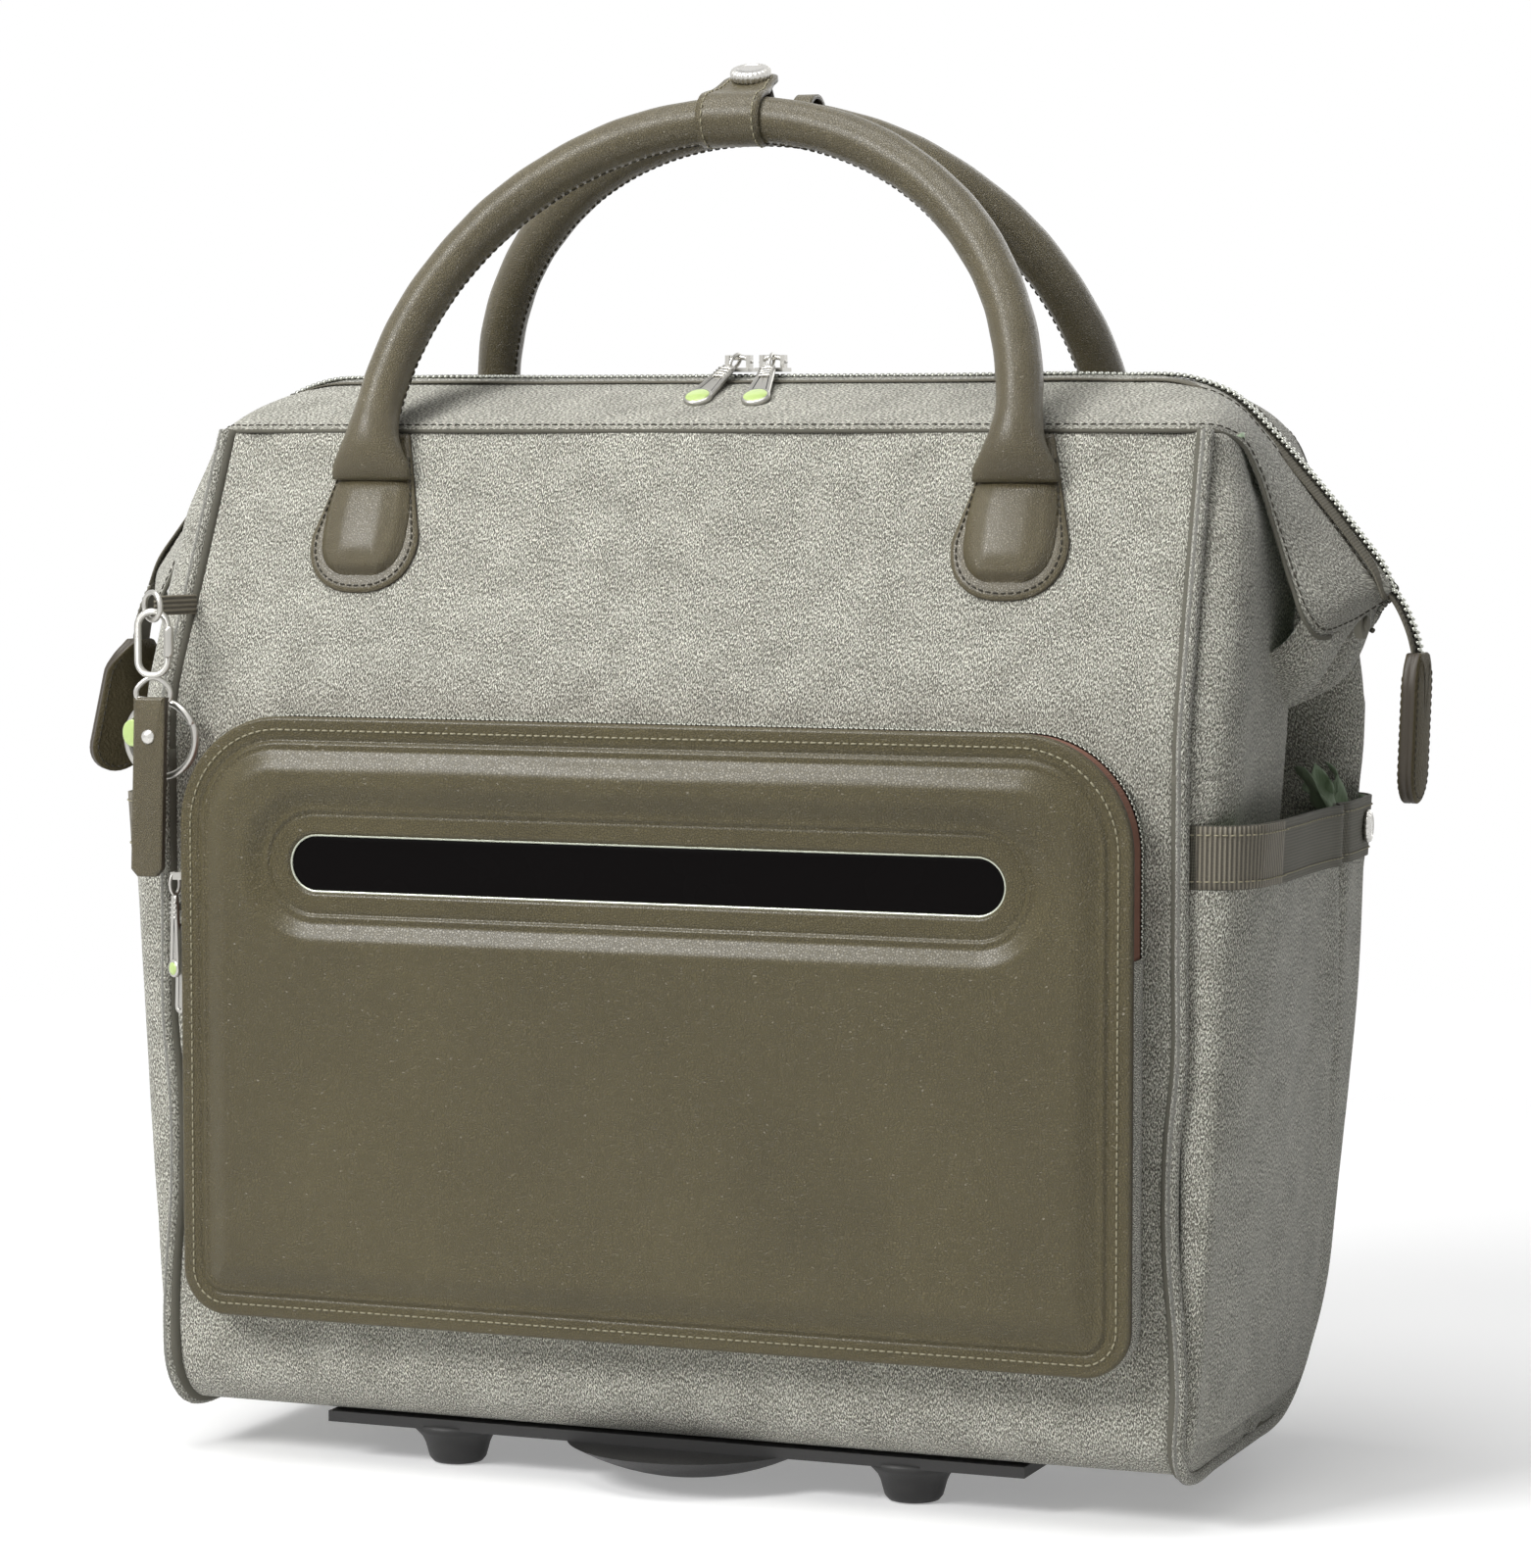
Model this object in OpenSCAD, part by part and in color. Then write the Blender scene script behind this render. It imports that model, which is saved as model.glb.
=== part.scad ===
// Two-wheeled laptop trolley bag with a framed, wide-opening zip mouth.
// Origin: middle of the footprint, on the floor. +X to the right, +Y to the back, +Z up.

/* [Case] */
// Width of the fabric case between its front pipings
case_w = 430; // [420:1:440]
// Depth of the fabric case from front face to back face
case_d = 196; // [190:1:200]
// Height of the underside of the fabric above the floor
floor_gap = 20; // [18:1:22]
// Height where the upper walls start to lean inwards
fold_z = 310; // [306:1:314]
// Height of the seam between the upper wall and the top band
seam_z = 421; // [418:1:424]
// Height of the zip line
zip_z = 442; // [439:1:445]
// How far the walls lean in at the seam
lean_in = 46; // [44:1:48]
// Thickness of a padded fabric wall
wall_t = 3; // [2.5:0.5:3]

/* [Mouth frame] */
// Half width of the top seam
seam_x = 210; // [206:1:212]
// Half distance between the zip ends
tip_x = 270; // [266:1:272]
// Height of the frame pivots
pivot_z = 345; // [343:1:347]

/* [Front pocket] */
// Half width of the front pocket
pocket_x = 201; // [196:1:201]
// Height of the pocket's lower edge
pocket_z0 = 62; // [58:1:66]
// Height of the pocket's upper edge
pocket_z1 = 306; // [302:1:306]
// How far the pocket wall stands proud of the front
pocket_d = 14; // [12:1:14]

/* [Handles] */
// Half distance between the feet of one carrying handle
handle_x = 138; // [134:1:142]
// Radius of the rolled leather handle
handle_r = 9; // [8:0.5:9]

/* [Running gear] */
// Radius of a wheel
wheel_r = 28; // [26:0.5:28]
// Distance of a wheel's middle from the centre line
wheel_x = 181; // [178:1:183]
// Travel of each trolley stage
stage_travel = 285; // [250:5:290]

/* [Hidden] */
$fn = 64;

FABRIC = "#a09d8e";
LEATHER = "#625a48";
LINING = "#cfd8c4";
BLACK = "#1d1f1e";
STEEL = "#c9ccd0";

mid_y = 6;                           // middle of the case's depth
front_y = mid_y - case_d / 2;        // front face
back_y = mid_y + case_d / 2;         // back face
half_w = case_w / 2;
lean_a = atan(lean_in / (seam_z - fold_z));
seam_y = front_y + lean_in;          // front seam; the rear one mirrors it
join_gap = 0.4;                      // clearance between parts that move past each other

// ---------- helpers ----------

// Draws an outline in (Y, Z) and extrudes it along X from x0 to x1.
module along_x(x0, x1) {
    translate([x0, 0, 0]) rotate([90, 0, 90]) linear_extrude(x1 - x0) children();
}

// Draws an outline in (X, Z) and extrudes it along Y from y0 to y1.
module along_y(y0, y1) {
    translate([0, y1, 0]) rotate([90, 0, 0]) linear_extrude(y1 - y0) children();
}

// Mirrors a front piece to the rear of the case.
module at_rear() {
    translate([0, 2 * mid_y, 0]) mirror([0, 1, 0]) children();
}

// Repeats a right-hand piece on both sides.
module both_sides() {
    children();
    mirror([1, 0, 0]) children();
}

// Local X stays X, local Y climbs the leaning front wall, local Z points outwards.
module on_lean() {
    translate([0, front_y, fold_z]) rotate([90 - lean_a, 0, 0]) children();
}

module rounded(w, h, r) {
    square([w - 2 * r, h], center = true);
    square([w, h - 2 * r], center = true);
    for (x = [-1, 1], y = [-1, 1]) translate([x * (w / 2 - r), y * (h / 2 - r)]) circle(r);
}

module box(lo, hi) {
    translate(lo) cube(hi - lo);
}

// Round bar between two points.
module bar(a, b, r) {
    d = b - a;
    translate(a) rotate([0, acos(d[2] / norm(d)), atan2(d[1], d[0])]) cylinder(r = r, h = norm(d));
}

// ---------- case ----------
corner_r = 65;                       // radius of the case's rear bottom edge
front_r = 22;                        // radius of its front bottom edge
corner_c = [back_y - corner_r, floor_gap + corner_r];
wheel_c = [back_y - 18, wheel_r];    // wheel centre in (Y, Z)
well_r = wheel_r + 7;                // wheel well, outside
tongue_x = 92;                       // half width of the trolley cover's upper part
tongue_z = 384;                      // its top
side_z = 360;                        // top of the stiff part of a side wall
side_lean = tan(lean_a) * (side_z - fold_z);

module side_outline() {
    polygon([[front_y, fold_z], [back_y, fold_z], [back_y - side_lean, side_z], [front_y + side_lean, side_z]]);
    difference() {
        union() {
            translate([front_y, floor_gap + front_r]) square([case_d, fold_z - floor_gap - front_r]);
            translate([front_y + front_r, floor_gap]) square([case_d - front_r - corner_r, front_r + 1]);
            translate([front_y + front_r, floor_gap + front_r]) circle(front_r);
        }
        translate([corner_c[0], floor_gap]) square(corner_r);
    }
    intersection() {
        translate(corner_c) circle(corner_r);
        translate([corner_c[0] - 1, floor_gap]) square(corner_r + 1);
    }
}

module wheel_notches() {
    both_sides() along_x(wheel_x - 25, wheel_x + 25) translate(wheel_c) circle(well_r + 0.5);
}

module front_panel() {
    color(FABRIC) box([-half_w + 3, front_y, floor_gap + front_r], [half_w - 3, front_y + wall_t, fold_z + 2]);
}

module back_panel() {
    color(FABRIC) difference() {
        union() {
            box([-half_w + 3, back_y - wall_t, corner_c[1]], [half_w - 3, back_y, fold_z + 2]);
            box([-tongue_x, back_y - wall_t, fold_z], [tongue_x, back_y, tongue_z]);
        }
        wheel_notches();
    }
}

// The side wall bows outwards a little towards the back.
module side_plan() {
    polygon([[half_w - 3, front_y], [half_w, front_y], [half_w + 2, mid_y - 40], [half_w + 3, mid_y + 40],
             [half_w + 1, back_y], [half_w - 3, back_y]]);
}

module side_panel() {
    intersection() {
        linear_extrude(side_z) side_plan();
        along_x(half_w - 4, half_w + 6) side_outline();
    }
}

module bottom_panel() {
    color(FABRIC) difference() {
        along_x(-half_w + 3, half_w - 3) difference() {
            union() {
                translate([front_y + front_r, floor_gap]) square([corner_c[0] - front_y - front_r, wall_t]);
                intersection() {
                    translate([front_y + front_r, floor_gap + front_r]) circle(front_r);
                    translate([front_y, floor_gap]) square(front_r);
                }
                intersection() {
                    translate(corner_c) circle(corner_r);
                    translate([corner_c[0], floor_gap]) square(corner_r);
                }
            }
            translate([front_y + front_r, floor_gap + front_r]) circle(front_r - wall_t);
            translate(corner_c) circle(corner_r - wall_t);
        }
        wheel_notches();
        box([-foot_w / 2 - 1, foot_y0 - 1, 0], [foot_w / 2 + 1, back_y + 1, corner_c[1] + 1]);
    }
}

piping_r = 2.2;
piping_x = half_w - 1;
piping_out = piping_r + 0.1;         // distance of a piping's middle from the fabric

// The cord sewn round each side wall: down the front edge, along the bottom and up the back.
module pipings() {
    color(FABRIC) both_sides() {
        bar([piping_x, front_y - piping_out, fold_z], [piping_x, front_y - piping_out, floor_gap + front_r], piping_r);
        translate([piping_x, front_y + front_r, floor_gap + front_r]) rotate([0, 90, 0]) rotate([0, 0, 90])
            rotate_extrude(angle = 90, start = 180) translate([front_r + piping_out, 0]) circle(piping_r);
        bar([piping_x, front_y + front_r, floor_gap - piping_out], [piping_x, corner_c[0], floor_gap - piping_out],
            piping_r);
        bar([piping_x, back_y + piping_out, fold_z], [piping_x, back_y + piping_out, corner_c[1]], piping_r);
    }
}

lining_t = 1.5;
lining_y0 = front_y + wall_t + 2;
lining_y1 = 79;
lining_z0 = 34;
lining_z1 = 262;

module lining_outline(inset) {
    difference() {
        translate([lining_y0 + inset, lining_z0 + inset])
            square([lining_y1 - lining_y0 - 2 * inset, lining_z1 - lining_z0]);
        translate(wheel_c) circle(well_r + 7 + inset);
    }
}

module lining() {
    color(LINING) difference() {
        along_x(-half_w + 7, half_w - 7) intersection() {
            lining_outline(0);
            translate([-200, 0]) square([400, lining_z1]);
        }
        along_x(-half_w + 7 + lining_t, half_w - 7 - lining_t) lining_outline(lining_t);
    }
}

module base_board() {
    color(BLACK) box([-half_w + 8, front_y + front_r + 1, floor_gap + wall_t], [half_w - 8, corner_c[0] - 1, floor_gap + wall_t + 4]);
}

board_y = 86;

module back_board() {
    color(BLACK) box([-95, board_y, corner_c[1] + 1], [95, board_y + 1.6, tongue_z]);
}

divider_y = 46;
divider_z0 = 58;                     // stands on the wheel humps of the lining

module laptop_divider() {
    color(LINING) box([-192, divider_y, divider_z0], [192, divider_y + 6, 285]);
}

// ---------- front pocket ----------
pocket_w = 2 * pocket_x;
pocket_h = pocket_z1 - pocket_z0;
pocket_top_r = 45;
pocket_low_r = 19;
pocket_zip_z = 221;                  // where the pocket zip ends on each side
pocket_y = front_y - pocket_d;       // back of the moulded panel

module pocket_outline(inset) {
    x = pocket_x - inset;
    for (s = [-1, 1]) {
        translate([s * (pocket_x - pocket_top_r), pocket_z1 - pocket_top_r]) circle(pocket_top_r - inset);
        translate([s * (pocket_x - pocket_low_r), pocket_z0 + pocket_low_r]) circle(pocket_low_r - inset);
    }
    translate([-x, pocket_z0 + pocket_low_r]) square([2 * x, pocket_h - pocket_top_r - pocket_low_r]);
    translate([-pocket_x + pocket_top_r, pocket_z1 - pocket_top_r - 1])
        square([pocket_w - 2 * pocket_top_r, pocket_top_r + 1 - inset]);
    translate([-pocket_x + pocket_low_r, pocket_z0 + inset])
        square([pocket_w - 2 * pocket_low_r, pocket_low_r]);
}

module pocket_ring(t) {
    along_y(pocket_y, front_y) difference() {
        pocket_outline(1);
        pocket_outline(1 + t);
    }
}

module pocket_wall() {
    color(FABRIC) intersection() {
        pocket_ring(2.5);
        box([-300, -300, 0], [300, 0, pocket_zip_z]);
    }
}

module pocket_zip() {
    color("#7d5546") intersection() {
        pocket_ring(2.5);
        box([-300, -300, pocket_zip_z], [300, 0, 400]);
    }
}

window_z = 247.5;
window_x = 151;                      // half length of the window
window_r = 11.5;

module window_outline(grow) {
    r = window_r + grow;
    for (s = [-1, 1]) translate([s * (window_x - window_r), window_z]) circle(r);
    translate([-window_x + window_r, window_z - r]) square([2 * (window_x - window_r), 2 * r]);
}

module pocket_face() {
    color(LEATHER) difference() {
        union() {
            along_y(pocket_y - 3, pocket_y) pocket_outline(0);
            along_y(pocket_y - 6, pocket_y - 3) difference() {
                pocket_outline(11);
                window_outline(8);
            }
        }
        along_y(pocket_y - 7, pocket_y + 1) window_outline(0);
    }
}

module pocket_window() {
    color("#0f0e0d") along_y(pocket_y - 2.6, pocket_y - 0.6) window_outline(0);
}

// ---------- bottle pockets ----------
bottle_z0 = 34;
bottle_z1 = 271;
bottle_y0 = front_y + 8;
bottle_y1 = back_y - 8;

// Outer face of the bottle pocket at height z.
function bottle_x(z) = half_w + 8 + 16 * (z - bottle_z0) / (bottle_z1 - bottle_z0);

module bottle_pockets() {
    color(FABRIC) both_sides() difference() {
        along_y(bottle_y0, bottle_y1)
            polygon([[half_w, bottle_z0], [bottle_x(bottle_z0), bottle_z0], [bottle_x(bottle_z1), bottle_z1],
                     [half_w, bottle_z1]]);
        along_y(bottle_y0 + 2, bottle_y1 - 2)
            polygon([[half_w, bottle_z0 + 3], [bottle_x(bottle_z0) - 2, bottle_z0 + 3],
                     [bottle_x(bottle_z1 + 1) - 2, bottle_z1 + 1], [half_w, bottle_z1 + 1]]);
        linear_extrude(340) side_plan();
        along_x(half_w - 10, half_w + 40) difference() {
            translate([corner_c[0], 0]) square(corner_c[1]);
            translate(corner_c) circle(corner_r);
        }
    }
}

web_z0 = bottle_z1 - 24;              // lower edge of the webbing band
web_t = 1.6;

module pocket_webbings() {
    color("#6f6b5c") both_sides() along_y(bottle_y0 - 3, bottle_y1 + 3)
        polygon([[bottle_x(web_z0), web_z0], [bottle_x(web_z0) + web_t, web_z0],
                 [bottle_x(bottle_z1) + web_t, bottle_z1], [bottle_x(bottle_z1), bottle_z1]]);
}

snap_y = 78;
snap_z = 260;
snap_r = 6;

module pocket_snaps() {
    color(STEEL) both_sides() translate([bottle_x(snap_z + snap_r) + web_t, snap_y, snap_z]) rotate([0, 90, 0]) {
        cylinder(r = snap_r, h = 1.6);
        cylinder(r = 4.4, h = 2.6);
    }
}

// ---------- running gear ----------
foot_w = 172;                        // trolley foot's width
foot_y0 = 86;
tray_t = 4.6;
axle_r = 3;
cheek_t = 4.5;
wheel_w = 20;
housing_x0 = wheel_x - 21;
housing_x1 = wheel_x + 21;

module base_tray() {
    color(BLACK) {
        box([-150, front_y + 12, floor_gap - tray_t], [150, corner_c[0], floor_gap - 0.2]);
        keel_r = 102;
        intersection() {
            translate([2, -56, keel_r + 1.6]) sphere(keel_r, $fn = 96);
            box([-80, -120, 0], [80, 20, floor_gap - tray_t]);
        }
    }
}

foot_x = 99;
foot_y = -64;

module front_feet() {
    color(BLACK) both_sides() translate([foot_x, foot_y, 0])
        cylinder(r1 = 11.5, r2 = 18, h = floor_gap - tray_t);
}

module housing_outline() {
    guard_r = corner_r + 5.4;
    difference() {
        union() {
            intersection() {
                translate(corner_c) circle(guard_r);
                translate([58, 0]) square(corner_c[1]);
            }
            translate([back_y + 0.4, corner_c[1] - 0.5]) square([5, 150 - corner_c[1]]);
            translate(wheel_c) circle(13);
        }
        difference() {
            translate(corner_c) circle(corner_r + 0.4);
            translate(wheel_c) circle(well_r);
        }
    }
}

module wheel_housings() {
    color(BLACK) both_sides() difference() {
        along_x(housing_x0, housing_x1) housing_outline();
        along_x(housing_x0 + cheek_t, housing_x1 - cheek_t) {
            translate(wheel_c) circle(wheel_r + 2.5);
        }
        along_x(housing_x0 - 1, housing_x1 + 1) translate(wheel_c) circle(axle_r);
    }
}

module wheel_axles() {
    color(STEEL) both_sides() {
        along_x(housing_x0 + 0.5, housing_x1 - 0.5) translate(wheel_c) circle(axle_r);
        for (s = [-1, 1])
            along_x(wheel_x + s * 13.3 - 1.5, wheel_x + s * 13.3 + 1.5) translate(wheel_c) circle(5);
    }
}

module tyre() {
    translate([wheel_x, wheel_c[0], wheel_c[1]]) rotate([0, 90, 0]) rotate_extrude($fn = 96)
        polygon([[20, -9], [26.5, -10], [28, -7], [28, 7], [26.5, 10], [20, 9]]);
}

module hub() {
    translate([wheel_x, wheel_c[0], wheel_c[1]]) rotate([0, 90, 0]) difference() {
        rotate_extrude($fn = 96)
            polygon([[3.05, -11], [7, -11], [7, -4], [16, -4], [16, -9], [20, -9], [20, 9], [16, 9],
                     [16, 4], [7, 4], [7, 11], [3.05, 11]]);
        for (a = [0:60:300]) rotate([0, 0, a]) translate([11.5, 0, -10]) cylinder(r = 3, h = 20);
    }
}

// ---------- trolley ----------
tube_x = 64;
tube_y = 94;
outer_top = tongue_z;
tube_overlap = 55;                   // length of a stage that stays inside the next when pulled out
tube_z0 = outer_top - stage_travel - tube_overlap;
tube_t = 1.1;

module tube_pair(w, d, z0, z1) {
    for (s = [-1, 1]) translate([s * tube_x, tube_y, z0]) linear_extrude(z1 - z0) difference() {
        rounded(w, d, 3);
        rounded(w - 2 * tube_t, d - 2 * tube_t, 3 - tube_t);
    }
}

module trolley_outer_tubes() {
    color(STEEL) tube_pair(20, 12.6, tube_z0, outer_top);
}

module trolley_mid_tubes() {
    color(STEEL) tube_pair(17, 9.6, tube_z0 + 4, outer_top + 8);
}

module trolley_inner_tubes() {
    color(STEEL) tube_pair(14, 6.6, tube_z0 + 8, outer_top + 16);
}

module trolley_foot() {
    color(BLACK) difference() {
        along_x(-foot_w / 2, foot_w / 2) {
            translate([foot_y0, corner_c[1] - 43]) square([back_y - foot_y0, 43]);
            translate([foot_y0, corner_c[1] - 51]) square([back_y - foot_y0 - 8, 9]);
            translate([back_y - 8, corner_c[1] - 43]) circle(8);
        }
        for (s = [-1, 1]) translate([s * tube_x, tube_y, tube_z0]) linear_extrude(60) rounded(20, 12.6, 3);
    }
}

module trolley_collar() {
    color(BLACK) difference() {
        box([-tongue_x, tube_y - 7.5, outer_top], [tongue_x, tube_y + 10, outer_top + 7]);
        for (s = [-1, 1]) translate([s * tube_x, tube_y, outer_top - 1]) linear_extrude(9)
            rounded(17.8, 10.4, 3);
    }
}

grip_z0 = outer_top + 12;

module trolley_grip() {
    color(BLACK) difference() {
        union() {
            translate([0, tube_y, grip_z0 + 14]) rotate([90, 0, 0]) translate([0, 0, -7]) linear_extrude(14)
                rounded(2 * tube_x + 26, 28, 8);
        }
        along_y(tube_y - 10, tube_y + 10) translate([0, grip_z0 + 3]) rounded(2 * tube_x - 20, 14, 5);
        translate([0, tube_y, grip_z0 + 18]) linear_extrude(20) rounded(30.8, 8.8, 3);
        for (s = [-1, 1]) translate([s * tube_x, tube_y, grip_z0 - 1]) linear_extrude(5.01)
            rounded(14, 6.6, 3);
    }
}

button_travel = 3;

module trolley_button() {
    color("#4a4c4b") {
        translate([0, tube_y, grip_z0 + 18 + button_travel]) linear_extrude(9) rounded(30, 8, 2.6);
    }
}

module fasteners() {
    color(STEEL) {
        for (x = [-125, 125], y = [-60, 20]) translate([x, y, floor_gap - tray_t - 1.4])
            cylinder(r = 3.6, h = 1.4);
        for (x = [-84, -44, 44, 84], z = [100, 240]) translate([x, back_y, z]) rotate([-90, 0, 0])
            cylinder(r = 4, h = 1.6);
        both_sides() for (z = [98, 138]) translate([wheel_x, back_y + 5.4, z]) rotate([-90, 0, 0])
            cylinder(r = 3.6, h = 1.4);
    }
}

// ---------- mouth frame, bands and zip ----------
wing_z = 358;                        // zip end height
zip_bend = 198;                      // half length of the level stretch of zip
zip_mid = [238, 403];                // point of the zip between its bend and its end, in (X, Z)
front_eye_x = 251;
rear_eye_x = 257;
eye_t = 3;
band_t = 3;

// Half of the top band as pairs of a seam point and a zip point, from the middle outwards.
BAND = [
    [[seam_x, seam_y, seam_z], [zip_bend, mid_y - 1, zip_z]],
    [[234, seam_y + 8, 384], [zip_mid[0], mid_y - 1, zip_mid[1]]],
    [[250, seam_y + 6, 341], [tip_x, mid_y - 1, wing_z]]];

// The top band is one bent strip from wing tip to wing tip.
module band_strip() {
    pairs = concat([for (i = [2, 1, 0]) [for (p = BAND[i]) [-p[0], p[1], p[2]]]], BAND);
    top = [for (pair = pairs, p = pair) p];
    n = len(top);
    points = concat(top, [for (p = top) p - [0, 0, band_t]]);
    strips = [for (i = [0:2:n - 4]) [i, i + 2, i + 3, i + 1]];
    unders = [for (i = [0:2:n - 4]) [n + i, n + i + 1, n + i + 3, n + i + 2]];
    seams = [for (i = [0:2:n - 4]) [i, n + i, n + i + 2, i + 2]];
    zips = [for (i = [0:2:n - 4]) [i + 1, i + 3, n + i + 3, n + i + 1]];
    ends = [[0, 1, n + 1, n], [n - 2, 2 * n - 2, 2 * n - 1, n - 1]];
    polyhedron(points, [for (f = concat(strips, unders, seams, zips, ends)) [f[3], f[2], f[1], f[0]]]);
}

// Upper wall from the height z0 to the seam, where it runs into the top band.
module upper_wall(z0) {
    function lean_y(z) = front_y + tan(lean_a) * (z - fold_z);
    z1 = seam_z - 0.5;
    x = seam_x - 1;
    along_x(-x, x) polygon([[lean_y(z0), z0], [lean_y(z1), z1], [lean_y(z1) + wall_t, z1],
        [lean_y(z0) + wall_t, z0]]);
}

front_wall_z = fold_z + 8;
rear_wall_z = 358;

module front_band() {
    color(FABRIC) {
        band_strip();
        upper_wall(front_wall_z);
    }
}

module rear_band() {
    color(FABRIC) at_rear() {
        band_strip();
        upper_wall(rear_wall_z);
    }
}

rod_r = 2.5;

// U-shaped steel frame with an eye at each end; join is how far from the pivot its rod meets the eye.
module frame_rods(eye_x, join) {
    corner = [192, seam_y + 8, seam_z - 18];
    end = [eye_x + eye_t / 2, mid_y - join, pivot_z];
    both_sides() {
        bar(corner, end, rod_r);
        translate(corner) sphere(rod_r, $fn = 32);
    }
    bar([-corner[0], corner[1], corner[2]], corner, rod_r);
}

module front_frame() {
    color(STEEL) {
        frame_rods(front_eye_x, 6.5);
        both_sides() {
            along_x(front_eye_x, front_eye_x + eye_t) translate([mid_y, pivot_z]) circle(6);
            along_x(front_eye_x - 1, rear_eye_x + eye_t + 1.2) translate([mid_y, pivot_z]) circle(2);
            along_x(rear_eye_x + eye_t + 0.4, rear_eye_x + eye_t + 1.4) translate([mid_y, pivot_z]) circle(2.9);
        }
    }
}

module rear_frame() {
    color(STEEL) difference() {
        union() {
            at_rear() frame_rods(rear_eye_x, 5.8);
            both_sides() along_x(rear_eye_x, rear_eye_x + eye_t) translate([mid_y, pivot_z]) circle(6);
        }
        both_sides() along_x(rear_eye_x - 1, rear_eye_x + eye_t + 2) translate([mid_y, pivot_z]) circle(2.3);
    }
}

// Zip line in (X, Z), as a strip from the height h0 to h1 above the band's edge.
module zip_line(h0, h1) {
    half = [[tip_x, wing_z], zip_mid, [zip_bend, zip_z]];
    upper = concat([for (p = half) p + [0, h1]], [for (i = [2, 1, 0]) [-half[i][0], half[i][1] + h1]]);
    lower = concat([for (p = half) [-p[0], p[1] + h0]], [for (i = [2, 1, 0]) half[i] + [0, h0]]);
    polygon(concat(upper, lower));
}

module front_zip() {
    color(STEEL) {
        along_y(mid_y - 0.9, mid_y - 0.2) zip_line(-2, 1.8);
        along_y(mid_y - 3.2, mid_y - 0.5) zip_line(0.4, 1.8);
    }
}

module rear_zip() {
    at_rear() front_zip();
}

patch_low = 48;                      // lower end of a patch, measured up the lean from the fold
hinge_up = 104;                      // the handle's pivot, measured the same way
patch_w = 47;
pad_w = 34;
patch_t = 2;
handle_out = handle_r + 1.5;         // pivot's height over the leaning wall
stub_low = 86;
stub_h = 7.5;                        // ends below the pivot, so that the handle can swing down

module patch_outline(w) {
    translate([0, patch_low + patch_w / 2]) circle(w / 2);
    translate([-w / 2, patch_low + patch_w / 2]) square([w, 40]);
}

// Leather patch with its padded tongue and the stub that the handle grows out of.
module patches() {
    on_lean() both_sides() translate([handle_x, 0, 0]) difference() {
        union() {
            linear_extrude(patch_t) patch_outline(patch_w);
            linear_extrude(patch_t + 2.6) patch_outline(pad_w);
            translate([0, stub_low, handle_out]) rotate([-90, 0, 0]) cylinder(r = handle_r, h = stub_h);
            translate([-handle_r, stub_low, 0]) cube([2 * handle_r, stub_h, handle_out]);
        }
        translate([0, hinge_up, handle_out]) {
            sphere(handle_r + join_gap);
            rotate([-90, 0, 0]) cylinder(r = handle_r + join_gap, h = 20);
        }
    }
}

module front_patches() {
    color(LEATHER) patches();
}

module rear_patches() {
    color(LEATHER) at_rear() patches();
}

// ---------- carrying handles ----------
// Pivot of the front handle, and the lean of the handle's plane.
hinge_y = front_y + hinge_up * sin(lean_a) - handle_out * cos(lean_a);
hinge_z = fold_z + hinge_up * cos(lean_a) + handle_out * sin(lean_a);
apex_y = mid_y - 10.4;
apex_z = 546;
handle_a = atan((apex_y - hinge_y) / (apex_z - hinge_z));
handle_h = norm([apex_y - hinge_y, apex_z - hinge_z]);

module in_handle_plane() {
    translate([0, hinge_y, hinge_z]) rotate([-handle_a, 0, 0]) children();
}

module handle_loop() {
    leg = handle_h - handle_x;
    in_handle_plane() {
        both_sides() {
            translate([handle_x, 0, 0]) cylinder(r = handle_r, h = leg);
            translate([handle_x, 0, 0]) sphere(handle_r);
        }
        translate([0, 0, leg]) rotate([90, 0, 0]) rotate_extrude(angle = 180)
            translate([handle_x, 0]) circle(handle_r);
    }
}

module front_handle() {
    color(LEATHER) handle_loop();
}

module rear_handle() {
    color(LEATHER) at_rear() handle_loop();
}

wrap_w = 34;
tongue_top = apex_z + handle_r + 3.4;

module handle_wrap() {
    color(LEATHER) {
        difference() {
            translate([-wrap_w / 2, apex_y, apex_z]) rotate([0, 90, 0]) cylinder(r = handle_r + 2.6, h = wrap_w);
            handle_loop();
            translate([-wrap_w, apex_y + handle_r + 1, apex_z - 20]) cube([2 * wrap_w, 10, 24]);
        }
        difference() {
            union() {
                translate([-9, apex_y, tongue_top - 1]) cube([18, 16, 2.4]);
                translate([0, apex_y + 16, tongue_top - 1]) cylinder(r = 9, h = 2.4);
            }
            translate([-wrap_w, apex_y, apex_z]) rotate([0, 90, 0]) cylinder(r = handle_r + 1, h = 2 * wrap_w);
        }
    }
}

module snap_cap() {
    color(STEEL) translate([0, apex_y + 15, tongue_top + 1.4]) {
        cylinder(r = 8.5, h = 2.4);
        cylinder(r = 7, h = 4.2);
        cylinder(r = 4, h = 6);
    }
}

// ---------- zip sliders and pulls ----------
slider_len = 12;
pull_bar_z = zip_z + 8;
pull_drop = 29;                      // angle of a resting pull below level

module zip_slider() {
    translate([0, mid_y, 0]) {
        box([-slider_len / 2, -5, zip_z + 2.2], [slider_len / 2, 5, zip_z + 3.8]);
        for (s = [-1, 1]) translate([s * 4.6, 0, zip_z + 3]) box([-0.9, -1.8, 0], [0.9, 1.8, 6]);
        translate([-4.6, 0, pull_bar_z]) rotate([0, 90, 0]) cylinder(r = 1, h = 9.2);
    }
}

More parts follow.
